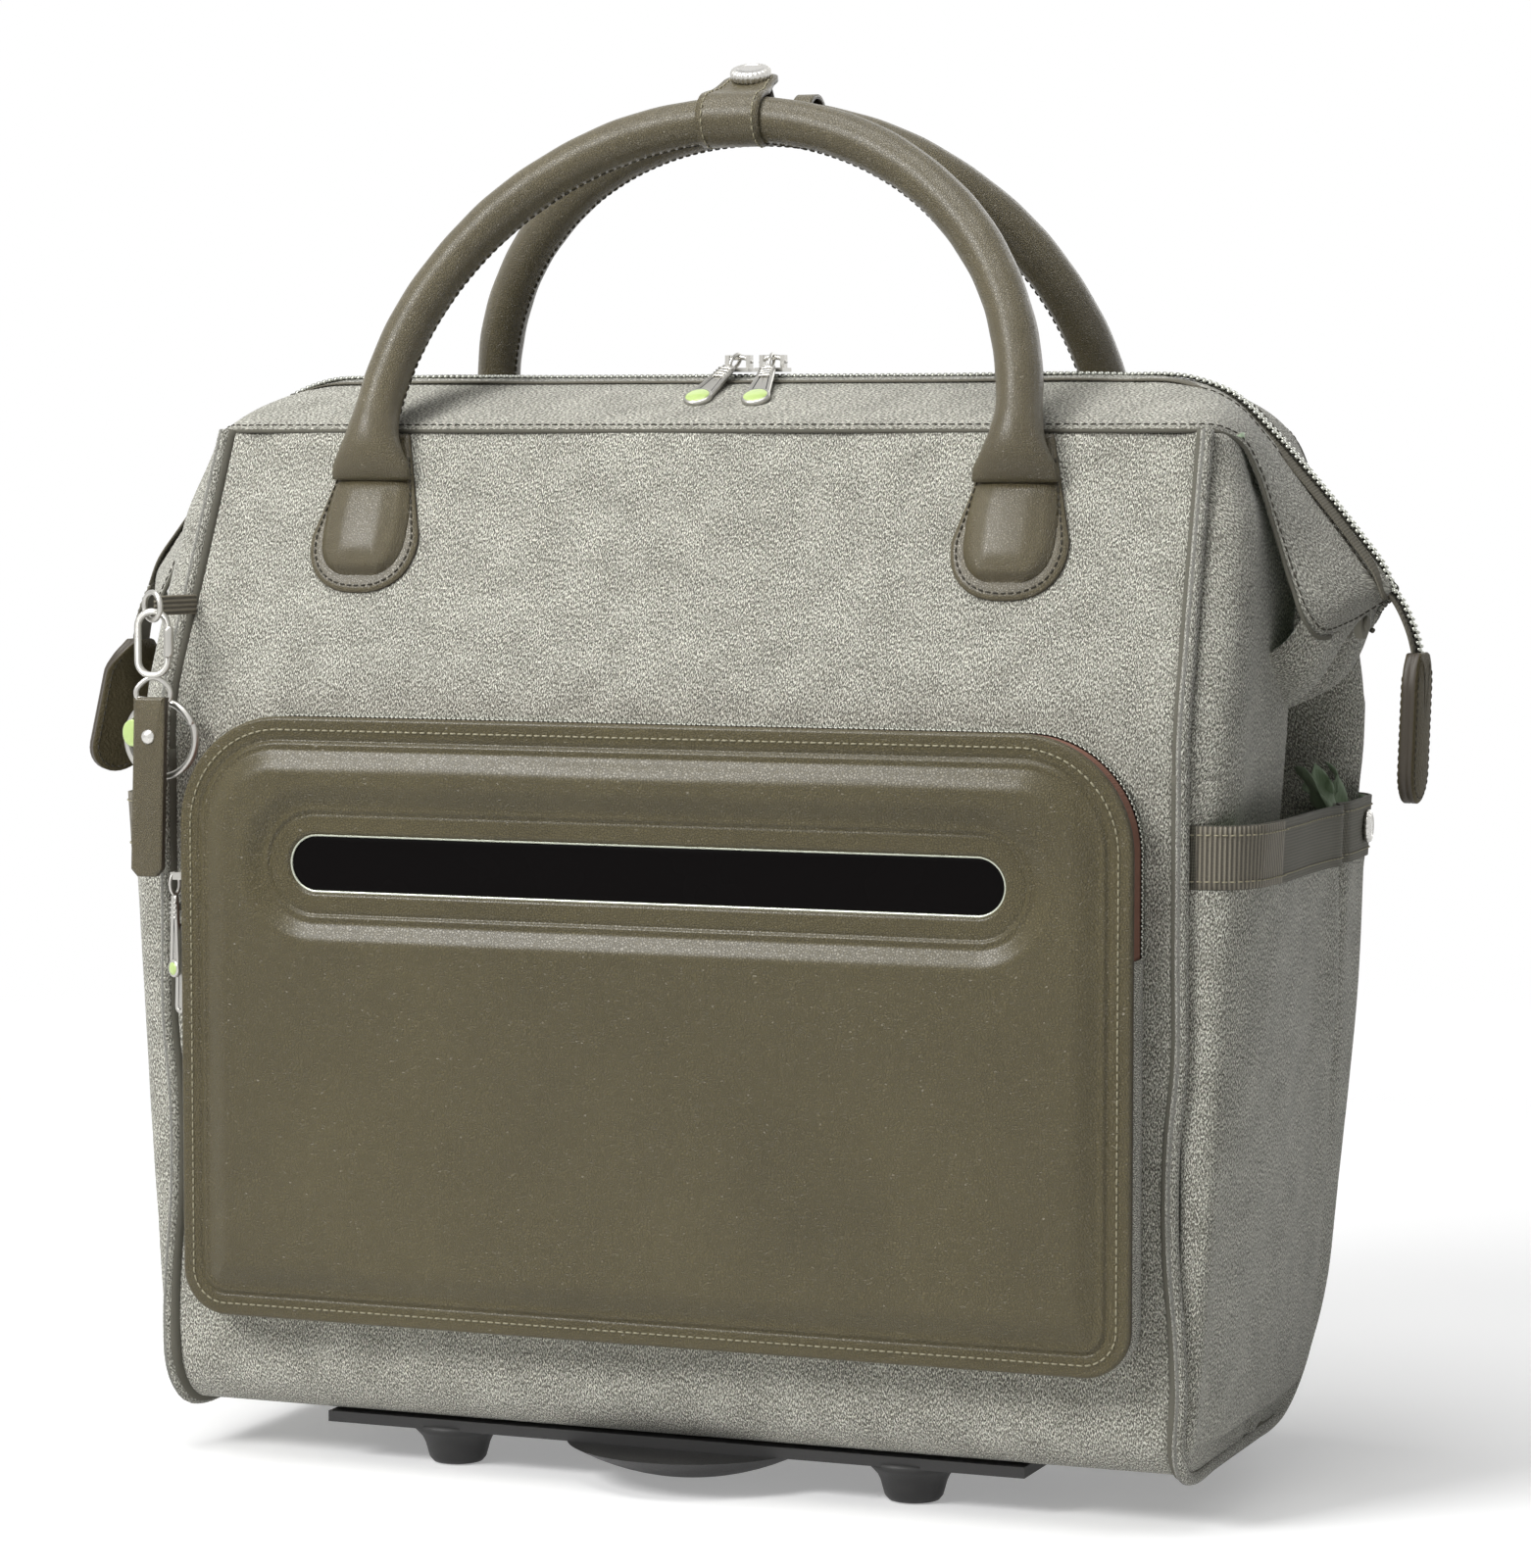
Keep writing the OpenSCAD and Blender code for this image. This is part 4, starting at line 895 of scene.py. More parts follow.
# ---- Handle patches ----
# Each handle end is laid under a leather patch: a flat backing with a thick padded tongue on top, sewn
# all round and across the fold where the handle leaves it.
LEAN_A = math.radians(22.5)
UP = np.array([0, math.sin(LEAN_A), math.cos(LEAN_A)])
OUT = np.array([0, -math.cos(LEAN_A), math.sin(LEAN_A)])
HANDLE_X, HANDLE_R, PIVOT_UP, HANDLE_OUT = 138, 9.3, 104, 10.5


def on_lean(x, up, out, flip=1):
    """A place on the leaning front wall, up it from the fold and out from it; flip -1 is the back."""
    p = np.array([x, FRONT_Y, FOLD_Z]) + UP * up + OUT * out
    return p if flip > 0 else p * (1, -1, 1) + (0, 2 * MID_Y, 0)


def ease(x, low, high):
    x = np.clip((np.asarray(x, float) - low) / (high - low), 0, 1)
    return x * x * (3 - 2 * x)


def tongue(half, low, top, narrow=1.0, full=0.84):
    """The outline of a strip with a full round lower end, its upper end narrowed."""
    turn = np.linspace(0, math.pi, 25)
    arc = [(half * math.copysign(abs(math.cos(a))**full, math.cos(a)),
            low + half - half * abs(math.sin(a))**full)
           for a in turn]
    return spaced([(half * narrow, top)] + arc + [(-half * narrow, top), (half * narrow, top)], 73)[:-1]


for word, jaw, flip in (("front", "front_jaw", 1), ("rear", "rear_jaw", -1)):
    for side, hand in ((-1, "left"), (1, "right")):
        centre = side * HANDLE_X

        def at(a, b, h):
            return on_lean(centre + a, b, h + 0.2, flip)

        backing = slab(f"{word}_{hand}_patch", tongue(24.0, 48, 117, 0.5), at,
                       [(3, -0.8), (0, -0.4), (0, 1.3), (0.5, 1.9), (2.0, 2.2), (5, 2.2)],
                       [olive, leather_edge], [0, 1, 1, 0, 0, 0])
        rows = []
        for b in np.concatenate([np.linspace(54.3, 60, 12), np.linspace(61.5, 92, 16),
                                 np.linspace(93, 98.5, 7)]):
            low_end = max(1 - max(0.0, (73.4 - b) / 19.2)**2.5, 0.003)**0.4 * 19.2
            half = low_end - 1.6 * ease(b, 80, 98)
            u = np.linspace(-1, 1, 27)
            near = np.minimum((1 - np.abs(u)) * half, b - 54.4)
            crown = (1 - (u * 0.8)**2) * (1 - 0.35 * ((b - 76) / 24)**2)
            settle = 1 - 0.5 * ease(b, 91, 98.6)
            high = 1.6 + (3.6 * ease(near, -0.6, 4.6) + 3.0 * crown * ease(near, 0, 12)) * settle
            rows.append([at(k * half, b, h) for k, h in zip(u, high)])
        facing = OUT if flip > 0 else OUT * (1, -1, 1)
        pad = cloth(f"{word}_{hand}_pad", rows, facing, [olive, olive], 1.0)
        if side < 0:
            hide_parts(f"{word}_patches")
        for piece in (backing, pad):
            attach(piece, jaw)
        edge_line = tongue(21.4, 50.6, 112, 0.62)[2:-8]
        line = np.array([at(a, b, 2.35) for a, b in edge_line])
        up = np.broadcast_to(OUT if flip > 0 else OUT * (1, -1, 1), line.shape)
        across = np.array([at(a, 98.6, 5.0 - 0.008 * a * a) for a in np.linspace(-17.5, 17.5, 12)])
        sewing = stitches(f"{word}_{hand}_patch_stitches", [(line, up), (across, up[:12])], brown_thread,
                          3.1, 2.2, 0.36)
        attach(sewing, jaw)

# ---- Handles ----
# Two rolled leather handles over a cord core, sewn closed along the inside; each end is flattened out
# and folded down under its patch.
FIRST_UP = 96.0
for word, jaw, body, flip in (("front", "front_jaw", "front_carry", 1),
                              ("rear", "rear_jaw", "rear_carry", -1)):
    lean_a = math.radians(22.9)
    rise = np.array([0, math.sin(lean_a), math.cos(lean_a)])
    pivot = on_lean(0, PIVOT_UP, HANDLE_OUT)
    left = [on_lean(-HANDLE_X, up, out) for up, out in ((FIRST_UP, 4.6), (101, 7.4), (107, 9.6))]
    loop = [pivot + rise * 9.5 + np.array([-HANDLE_X * math.cos(a), 0, 0]) + rise * HANDLE_X * math.sin(a)
            for a in np.linspace(0, math.pi, 41)]
    right = [p * (-1, 1, 1) for p in left[::-1]]
    path = smooth(left + loop + right, 260)
    t = np.concatenate([[0], np.cumsum(np.linalg.norm(np.diff(path, axis=0), axis=1))])
    near = np.minimum(t, t[-1] - t)
    wide = between(near, ((0, 17.6), (5, 17.0), (11, 14.2), (19, 11.0), (27, 9.6), (34, HANDLE_R),
                          (900, HANDLE_R)))
    thin = between(near, ((0, 3.0), (5, 5.8), (11, 8.0), (19, 9.1), (27, 9.3), (34, HANDLE_R),
                          (900, HANDLE_R)))
    wobble = 1 + 0.012 * np.sin(t * 0.11) + 0.008 * np.sin(t * 0.31 + 1)
    if flip < 0:
        path = path * (1, -1, 1) + (0, 2 * MID_Y, 0)
    facing = OUT if flip > 0 else OUT * (1, -1, 1)
    rope = sweep(f"{word}_carry_handle", path, round_section(1.0, 20), [olive], up=facing,
                 scale=np.stack([wide * wobble, thin * wobble], axis=1))
    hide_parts(f"{word}_handle")
    fold = rise if flip > 0 else rise * (1, -1, 1)
    turn_at = (pivot if flip > 0 else pivot * (1, -1, 1) + (0, 2 * MID_Y, 0)) * 0.001
    tuple(turn_at - fold * 0.008)
    tuple(turn_at + fold * 0.010)
    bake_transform(rope)
    _, across, up = frames_along(path, facing)
    heart = np.array([0, path[20][1], path[20][2]])
    inner = across * np.sign(((heart - path) * across).sum(1, keepdims=True))
    turned = inner * 0.94 - up * 0.34
    keep = slice(16, -16)
    sewing = stitches(f"{word}_handle_stitches", [((path + turned * HANDLE_R)[keep], turned[keep])],
                      brown_thread,
                      3.4, 2.4, 0.36)
    tuple(turn_at - fold * 0.008)
    tuple(turn_at + fold * 0.010)
    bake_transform(sewing)

# ---- Handle wrap ----
# A leather keeper that rides on the front handle: one strap is wound round it and laps over the rear
# handle as a round tongue, held by a fluted snap. A small ring of leather on the rear handle faces it.
APEX_Y, APEX_Z = -4.5, 546.0


ring_r = HANDLE_R + 1.9
wind = [(21.5, 566.3), (15, 564.6), (8, 562.0), (1.5, 559.0)]
wind += [(APEX_Y + ring_r * math.cos(a), APEX_Z + ring_r * math.sin(a))
         for a in np.radians(np.linspace(98, 350, 21))]
wind += [(APEX_Y + ring_r + 0.6, APEX_Z + 3), (9.2, 555), (12.5, 559.6), (17.5, 562.6)]
run = smooth(wind, 110)
t = np.concatenate([[0], np.cumsum(np.linalg.norm(np.diff(run, axis=0), axis=1))])
tip = 11.5
half = np.where(t < tip, np.sqrt(np.maximum(tip**2 - (tip - t)**2, 0.3)), tip)
half = half + (13.6 - tip) * np.clip((t - 14) / 12, 0, 1)**1.5 - 4.5 * np.clip((t - t[-1] + 16) / 10, 0, 1)
rows = np.array([[(x, y, z) for x in np.linspace(-w, w, 9)] for (y, z), w in zip(run, half)])
facing = rows - (0, APEX_Y, APEX_Z)
facing[:, :, 0] = 0
facing /= np.linalg.norm(facing, axis=2, keepdims=True)
facing[:24] = (0, 0, 1)
wrap = cloth("handle_keeper", rows, facing, [olive, leather_edge], 1.8)
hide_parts("handle_wrap")
SNAP_TILT = math.radians(21)
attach(wrap, "front_carry")
lines = [inset_line(rows[6:92], facing[6:92], 2.6), inset_line(rows[6:92], facing[6:92], 2.6, last=True)]
sewing = stitches("keeper_stitches", lines, pale_thread, 3.2, 2.3, 0.36)
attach(sewing, "front_carry")

rows = [[(x, 2 * MID_Y - APEX_Y + (ring_r - 0.4) * math.cos(a), APEX_Z + (ring_r - 0.4) * math.sin(a))
         for x in np.linspace(19.5, 27.5, 6)] for a in np.linspace(0, 2 * math.pi, 41)]
out = np.array(rows) - (23.5, 2 * MID_Y - APEX_Y, APEX_Z)
loop = cloth("rear_handle_ring", rows, out * (0, 1, 1), [olive, leather_edge], 1.8)
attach(loop, "rear_carry")

silver = Finish("silver", (205, 203, 198), 0.22, Metallic=1.0)
silver.on(Roughness=0.16 + 0.2 * silver.noise(silver.place(), 160, 3.0))


def lathe(name, profile, origin, axis, finishes, segments=48, flutes=0, depth=0.0, ids=None):
    """A turned piece: (radius, height) points spun about an axis from an origin, with optional flutes."""
    axis = np.asarray(axis, float) / np.linalg.norm(axis)
    side = np.cross(axis, (0, 0, 1.0) if abs(axis[2]) < 0.9 else (1.0, 0, 0))
    side /= np.linalg.norm(side)
    other = np.cross(axis, side)
    points, faces, which = [], [], []
    for r, h in profile:
        for a in np.linspace(0, 2 * math.pi, segments, endpoint=False):
            rr = r - (depth * (0.5 + 0.5 * math.cos(flutes * a)) if flutes and r > 0.75 * max(profile)[0]
                      else 0)
            points.append(np.asarray(origin) + axis * h + (side * math.cos(a) + other * math.sin(a)) * rr)
    for i in range(len(profile) - 1):
        faces += [(i * segments + k, i * segments + (k + 1) % segments,
                   (i + 1) * segments + (k + 1) % segments,
                   (i + 1) * segments + k) for k in range(segments)]
        which += [ids[i] if ids else 0] * segments
    faces += [tuple(range(segments))[::-1], tuple(range((len(profile) - 1) * segments,
                                                        len(profile) * segments))]
    which += [ids[0] if ids else 0, ids[-1] if ids else 0]
    return make(name, points, faces, finishes, which)


cap = lathe("snap_cap_top", [(6.0, -0.4), (8.2, -0.2), (8.5, 0.4), (8.5, 2.8), (8.1, 3.7), (7.2, 4.2),
                             (5.5, 4.4),
                             (5.3, 4.1), (3.0, 4.2), (0.4, 4.2)], (0, 12.0, 563.7),
            (0.06, -math.sin(SNAP_TILT), math.cos(SNAP_TILT)), [silver],
            segments=144, flutes=24, depth=0.55)
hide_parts("snap_cap")
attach(cap, "front_carry")

# ---- Zip sliders and pulls ----
# Two cast sliders meet at the middle of the mouth. Each has a chain link and a ribbed pull with a black
# moulded insert and a plain lime enamel disc at its end.
nickel = Finish("nickel", (186, 184, 178), 0.28, Metallic=1.0)
nickel.on(Roughness=0.2 + 0.22 * nickel.noise(nickel.place(), 120, 3.0))
for name in ("left_slider", "right_slider", "upper_pocket_slider", "lower_pocket_slider"):
    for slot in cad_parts[name].material_slots:
        slot.material = nickel.material
black_insert = Finish("black_insert", (26, 26, 26), 0.45)
lime_enamel = Finish("lime_enamel", (188, 212, 128), 0.22, Coat_Weight=0.6, Coat_Roughness=0.08)
lime_enamel.on(**{"Base Color": lime_enamel.mix(lime_enamel.noise(lime_enamel.place(), 300),
                                                tone(178, 204, 118), tone(198, 220, 140))})


def pull(name, bar, along, up, length, node, body, width=8.4, disc=True):
    """A zip pull that hangs from a bar: a link, a ribbed frame, a dark insert and an enamel disc."""
    along, up = np.asarray(along, float), np.asarray(up, float)
    side = np.cross(up, along)

    def at(a, b, h):
        return np.asarray(bar) + side * a + along * b + up * h

    link = smooth([at(0.0, 3.2 + 4.4 * math.sin(a), 2.3 * math.cos(a))
                   for a in np.linspace(0, 2 * math.pi, 25)], 40)
    parts = [sweep(f"{name}_link", link[:-1], round_section(0.75, 8), [nickel], up=side, closed=True)]
    end = width / 2
    start = 8.0
    edge = [(end * math.cos(a), length - end + end * math.sin(a)) for a in np.linspace(0, math.pi, 15)]
    outline = [(-end * 0.5, start), (end * 0.5, start),
               (end * 0.62, start + 5)] + edge + [(-end * 0.62, start + 5)]
    outline = spaced(outline + outline[:1], 49)[:-1]
    parts.append(slab(f"{name}_frame", outline, at,
                      [(0.8, -1.2), (0, -0.8), (0, 0.6), (0.5, 1.1), (1.3, 1.1), (1.7, 0.5),
                                                     (2.2, 0.5)], [nickel, black_insert],
                      [0, 0, 0, 0, 0, 0, 1]))
    ribs = [sweep(f"{name}_rib_{i}", [at(a, b, 1.1 - abs(a) * 0.08)
                                      for a in np.linspace(-end * 0.6, end * 0.6, 5)],
                  round_section(0.55, 8), [nickel], up=up) for i,
            b in enumerate((start + 3, start + 5, start + 7, start + 9))]
    parts += ribs
    if disc:
        parts.append(lathe(f"{name}_disc_rim", [(end, -1.0), (end + 0.5, -0.4), (end + 0.5, 1.0),
                                                (end, 1.6), (end - 0.5, 1.5)],
                           at(0, length - end, 0), up, [nickel]))
        parts.append(lathe(f"{name}_disc", [(end - 0.4, 1.0), (end - 0.5, 1.5), (end - 1.2, 1.75),
                                            (0.3, 1.95)],
                           at(0, length - end, 0), up, [lime_enamel]))
    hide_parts(node)
    for part in parts:
        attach(part, body)


slope = math.radians(29)
for x, word in ((-3, "left"), (12, "right")):
    spin = math.radians(10 if word == "left" else -7)
    along = np.array([-math.sin(spin), -math.cos(spin) * math.cos(slope), -math.sin(slope)])
    up = np.array([0, -math.sin(slope), math.cos(slope)])
    up = up - np.dot(up, along) * along
    pull(f"{word}_zip_pull", (x, 6, 450), along, up / np.linalg.norm(up), 40, f"{word}_pull",
         f"{word}_tab", 11.0)
    hump = smooth([(x - 5.5, 6, 447.6), (x - 3.4, 6, 449.6), (x, 6, 450.3), (x + 3.4, 6, 449.6),
                   (x + 5.5, 6, 447.6)], 30)
    bridge = sweep(f"{word}_slider_bridge", hump, round_section(1.0, 8, 1.6), [nickel], up=(0, 0, 1))
    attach(bridge, f"{word}_slide")

# ---- Front pocket ----
# A shallow pocket on the front wall. Its face is one pressed leather panel over foam, with a flat sewn
# border and a long dark gloss window let into a rim; its sides are canvas below and zip above.
POCKET = (-201.0, 201.0, 62.0, 306.0)
POCKET_Y = -106.0
TOP_R, LOW_R = 45, 19
WIN_Z, WIN_X, WIN_R = 247.5, 139.5, 11.5


def pocket_outline(inset, sides=(54, 120, 30)):
    """The pocket's outline, from the middle of its left side round by the top, drawn in by an inset."""
    x0, x1, z0, z1 = POCKET[0] + inset, POCKET[1] - inset, POCKET[2] + inset, POCKET[3] - inset
    top, low = max(TOP_R - inset, 1.0), max(LOW_R - inset, 1.0)
    tall, wide, arc = sides
    mid = (z0 + z1) / 2

    def run(a, b, n):
        return [(a[0] + (b[0] - a[0]) * k / n, a[1] + (b[1] - a[1]) * k / n) for k in range(n)]

    def bend(cx, cz, r, a0, a1):
        return [(cx + r * math.cos(a), cz + r * math.sin(a))
                for a in np.linspace(a0, a1, arc, endpoint=False)]

    return np.array(run((x0, mid), (x0, z1 - top), tall // 2)
                    + bend(x0 + top, z1 - top, top, math.pi, math.pi / 2)
                    + run((x0 + top, z1), (x1 - top, z1), wide)
                    + bend(x1 - top, z1 - top, top, math.pi / 2, 0)
                    + run((x1, z1 - top), (x1, z0 + low), tall)
                    + bend(x1 - low, z0 + low, low, 0, -math.pi / 2)
                    + run((x1 - low, z0), (x0 + low, z0), wide)
                    + bend(x0 + low, z0 + low, low, -math.pi / 2, -math.pi)
                    + run((x0, z0 + low), (x0, mid), tall - tall // 2))


def window_outline(outset, sides=(54, 120, 30)):
    """The window's outline with its points matched to the pocket's."""
    tall, wide, arc = sides
    r = WIN_R + outset
    left = [(-WIN_X - r * math.sin(a), WIN_Z - r * math.cos(a))
            for a in np.linspace(0, math.pi, tall + 2 * arc, endpoint=False)]
    start = tall - tall // 2 + arc
    top = [(-WIN_X + 2 * WIN_X * k / wide, WIN_Z + r) for k in range(wide)]
    right = [(WIN_X + r * math.sin(a), WIN_Z + r * math.cos(a))
             for a in np.linspace(0, math.pi, tall + 2 * arc, endpoint=False)]
    low = [(WIN_X - 2 * WIN_X * k / wide, WIN_Z - r) for k in range(wide)]
    return np.array(left[start:] + top + right + low + left[:start])


def ridge(x, middle, half_width):
    """A narrow rounded ridge along a line."""
    return np.exp(-((x - middle) / half_width)**2)


def face_height(d, e):
    """How far the face stands out, from the distances to its edge and to the window."""
    rise = 3.0 + 4.3 * ease(d, 9.5, 23) + 0.7 * ridge(d, 11.0, 1.3) - 0.7 * ridge(d, 9.2, 0.8)
    level = 3.4 + (rise - 3.4) * ease(e, 9.5, 21) + 0.7 * ridge(e, 10.2, 1.2) - 0.5 * ridge(e, 8.6, 0.7)
    return level - 1.2 * (1 - ease(e, 0, 1.2))


d_list = list(np.linspace(0, 3, 5)[1:]) + list(np.linspace(3.8, 14, 18)) + [15]
e_list = [15, 14, 13, 12] + list(np.linspace(11.4, 6.5, 10)) + [5, 3.5, 2, 1.2, 0.6, 0.2, 0]
rings = []
for inset, height in ((2.0, -1.0), (0.4, -0.9), (0.0, -0.4), (0.0, 1.2), (0.25, 2.2)):
    ring = pocket_outline(inset)
    rings.append(np.column_stack([ring[:, 0], np.full(len(ring), POCKET_Y - height), ring[:, 1]]))
outer_last, inner_first = pocket_outline(15), window_outline(15)


def edge_gap(x, z):
    """The distance from a point inside the pocket to its outline."""
    r = np.where(z > (POCKET[2] + POCKET[3]) / 2, TOP_R, LOW_R)
    qx = np.abs(x) - (POCKET[1] - r)
    qz = np.where(z > 184, z - (POCKET[3] - r), (POCKET[2] + r) - z)
    return r - (np.hypot(np.maximum(qx, 0), np.maximum(qz, 0)) + np.minimum(np.maximum(qx, qz), 0))


def window_gap(x, z):
    return np.hypot(np.maximum(np.abs(x) - WIN_X, 0), z - WIN_Z) - WIN_R


for d in d_list:
    ring = pocket_outline(d)
    e = window_gap(ring[:, 0], ring[:, 1])
    h = face_height(np.full(len(ring), d), e)
    rings.append(np.column_stack([ring[:, 0], POCKET_Y - h + (0.5 * (1 - d / 1.5)**2 if d < 1.5 else 0),
                                  ring[:, 1]]))
for k in 0.5 - 0.5 * np.cos(np.linspace(0, math.pi, 52)[1:-1]):
    ring = outer_last * (1 - k) + inner_first * k
    h = face_height(edge_gap(ring[:, 0], ring[:, 1]), window_gap(ring[:, 0], ring[:, 1]))
    soft = 0.25 * np.sin(ring[:, 0] * 0.035 + ring[:, 1] * 0.05) * math.sin(math.pi * k)
    rings.append(np.column_stack([ring[:, 0], POCKET_Y - h - soft, ring[:, 1]]))
for e in e_list:
    ring = window_outline(e)
    h = face_height(edge_gap(ring[:, 0], ring[:, 1]), np.full(len(ring), e))
    rings.append(np.column_stack([ring[:, 0], POCKET_Y - h, ring[:, 1]]))
ring = window_outline(0.0)
rings.append(np.column_stack([ring[:, 0], np.full(len(ring), POCKET_Y - 0.2), ring[:, 1]]))
rings = np.array(rings)
n, m = rings.shape[:2]
faces = [(i * m + j, i * m + (j + 1) % m, (i + 1) * m + (j + 1) % m, (i + 1) * m + j)
         for i in range(n - 1) for j in range(m)]
which = [1 if i < 3 else 0 for i in range(n - 1) for j in range(m)]
panel_leather = Finish("panel_leather", (94, 86, 66), 0.42, Coat_Weight=0.35, Coat_Roughness=0.3,
                       Specular_IOR_Level=0.35)
where = panel_leather.place()
fine = panel_leather.node("TexVoronoi", {"feature": "DISTANCE_TO_EDGE"}, {"Vector": where, "Scale": 900})
pores = panel_leather.soft_step(fine, 0.0, 0.2)
cloud = panel_leather.noise(where, 14, 4.0)
panel_leather.on(**{"Base Color": panel_leather.mix(cloud * 0.8 + pores * 0.25, tone(68, 60, 33),
                                                    tone(99, 90, 58))})
panel_leather.on(Roughness=0.4 - 0.06 * pores + 0.06 * cloud)
panel_leather.bump(pores + cloud * 1.5, 0.00045, 0.9)
face = make("pocket_front", rings.reshape(-1, 3), faces, [panel_leather, leather_edge], which)
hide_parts("pocket_face")
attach(face, "root")
border = pocket_outline(5.2)
line = np.column_stack([border[:, 0], np.full(len(border), POCKET_Y - 3.05), border[:, 1]])
line = np.vstack([line, line[:1]])
sewing = stitches("pocket_stitches", [(line, np.broadcast_to(np.array([0, -1.0, 0]), line.shape))],
                  pale_thread,
                  3.3, 2.5, 0.38)
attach(sewing, "root")

gloss = Finish("window_gloss", (15, 13, 13), 0.3)
gloss.on(**{"Specular IOR Level": 0.03})
gloss.on(Roughness=0.22 + 0.1 * gloss.noise(gloss.place(), 40))
window = window_outline(-0.2)
plate = slab("pocket_window_plate", window, lambda a, b, h: (a, POCKET_Y - h, b),
             [(1.0, -0.6), (0, -0.4), (0, 1.2), (0.5, 1.5), (3, 1.55)], [gloss])
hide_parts("pocket_window")
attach(plate, "root")
rim_metal = Finish("rim_metal", (196, 200, 184), 0.25, Metallic=0.6)
rim_metal.on(Roughness=0.2 + 0.15 * rim_metal.noise(rim_metal.place(), 90))
ring = window_outline(-0.1)
rim = sweep("window_rim", [(a, POCKET_Y - 1.7, b) for a, b in ring[::2]], round_section(0.6, 8),
            [rim_metal],
            up=(0, -1, 0), closed=True)
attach(rim, "root")

# The pocket's sides: canvas along the bottom and up to the zip's ends, a rust tape and fine teeth above.
ring = pocket_outline(1.0)
ring = np.vstack([ring, ring[:1]])
loop = np.vstack([ring[:-1], ring[:-1]])
start = int(np.argmax((loop[:-1, 1] <= 221) & (loop[1:, 1] > 221)))
top_run = loop[start:start + 1 + int(np.argmax(loop[start + 2:, 1] <= 221)) + 2]
low_start = start + len(top_run) - 1
low_run = loop[low_start:low_start + 1 + int(np.argmax(loop[low_start + 1:, 1] > 221))]
centre = np.array([0, 184.0])


def pocket_side(name, run, depths, finishes, bulge=0.0, thick=1.0):
    """A strip round part of the pocket's edge, between depths, bulging outward."""
    step = np.gradient(run, axis=0)
    outward = np.stack([-step[:, 1], step[:, 0]], axis=1)
    outward /= np.linalg.norm(outward, axis=1, keepdims=True)
    if (outward * (run - centre)).sum() < 0:
        outward = -outward
    rows = []
    for k, y in enumerate(depths):
        puff = bulge * math.sin(math.pi * k / (len(depths) - 1))
        spot = run + outward * puff
        rows.append(np.column_stack([spot[:, 0], np.full(len(run), y), spot[:, 1]]))
    rows = np.array(rows)
    raw = np.cross(np.gradient(rows, axis=0), np.gradient(rows, axis=1))
    far = np.column_stack([outward[:, 0], np.zeros(len(run)), outward[:, 1]])[None]
    sign = 1 if (raw * far).sum() > 0 else -1
    return cloth(name, rows if sign > 0 else rows[::-1], sign * 0 + np.broadcast_to(far, rows.shape),
                 finishes, thick)


wall = pocket_side("pocket_side_wall", low_run, np.linspace(-106.2, -91.0, 9), [shell_canvas, mint_lining],
                   1.4)
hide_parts("pocket_wall")
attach(wall, "root")
rust_tape = Finish("rust_tape", (122, 84, 68), 0.85)
rust_tape.bump(rust_tape.node("TexWave", links={"Vector": rust_tape.place(), "Scale": 420}), 0.00015, 0.5)
tape = pocket_side("pocket_zip_tape", top_run, np.linspace(-106.2, -94.5, 6), [rust_tape], 0.3, 0.8)
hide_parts("pocket_zip")
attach(tape, "root")
far_tape = pocket_side("pocket_zip_far_tape", top_run, np.linspace(-93.5, -90.5, 3), [zip_tape_cloth], 0.2,
                       0.8)
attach(far_tape, "root")
t_path = np.column_stack([top_run[:, 0], np.full(len(top_run), -94.0), top_run[:, 1]])
spots = []
fine_path = spaced(t_path, int(np.linalg.norm(np.diff(t_path, axis=0), axis=1).sum() / 1.05))
along = np.gradient(fine_path, axis=0)
for k, (spot, step) in enumerate(zip(fine_path, along)):
    up = np.cross(step, (0, 1.0, 0))
    up /= np.linalg.norm(up)
    up = up if np.dot(up, spot - (0, -94, 184)) > 0 else -up
    spots.append((spot + up * 0.2 + (0, 0.5 if k % 2 else -0.5, 0), (0, 1.0 if k % 2 else -1.0, 0), up))
tooth = [(a, b, c) for a in (-1.0, 1.0) for b in (-0.42, 0.42) for c in (0, 0.9)]
box_faces = [(0, 1, 3, 2), (4, 6, 7, 5), (0, 4, 5, 1), (2, 3, 7, 6), (0, 2, 6, 4), (1, 5, 7, 3)]
teeth = scatter("pocket_zip_teeth", tooth, box_faces, spots, [tooth_metal])
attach(teeth, "root")

# ---- Bottle pockets ----
# One open pocket on each side, of canvas with a mint lining, pleated near the back; its mouth is bound
# by a wide webbing, doubled at the front end and closed at the back by a ribbed snap.
POCKET_X = ((30, 219), (34, 222), (60, 226), (100, 230), (150, 235), (200, 239), (256, 242), (272, 243))
MOUTH_Z, WEB_W = 271.5, 24


def pocket_section(z, out=0.0):
    """The side pocket's cross-section at a height, front to back."""
    y0, y1 = float(front_line(z)) + 1, float(rear_line(z)) - 1
    x = float(between(z, POCKET_X)) + out
    return [(215.4 + out, y0), (215.4 + (x - 215.4) * 0.62, y0 + 4), (x - 4, y0 + 13), (x - 0.8, y0 + 32),
            (x, y0 + 60),
            (x, 0), (x + 0.4, y1 - 60), (x - 0.4, y1 - 32), (x - 1.5, y1 - 15), (x - 8, y1 - 4),
            (216.4 + out, y1)]


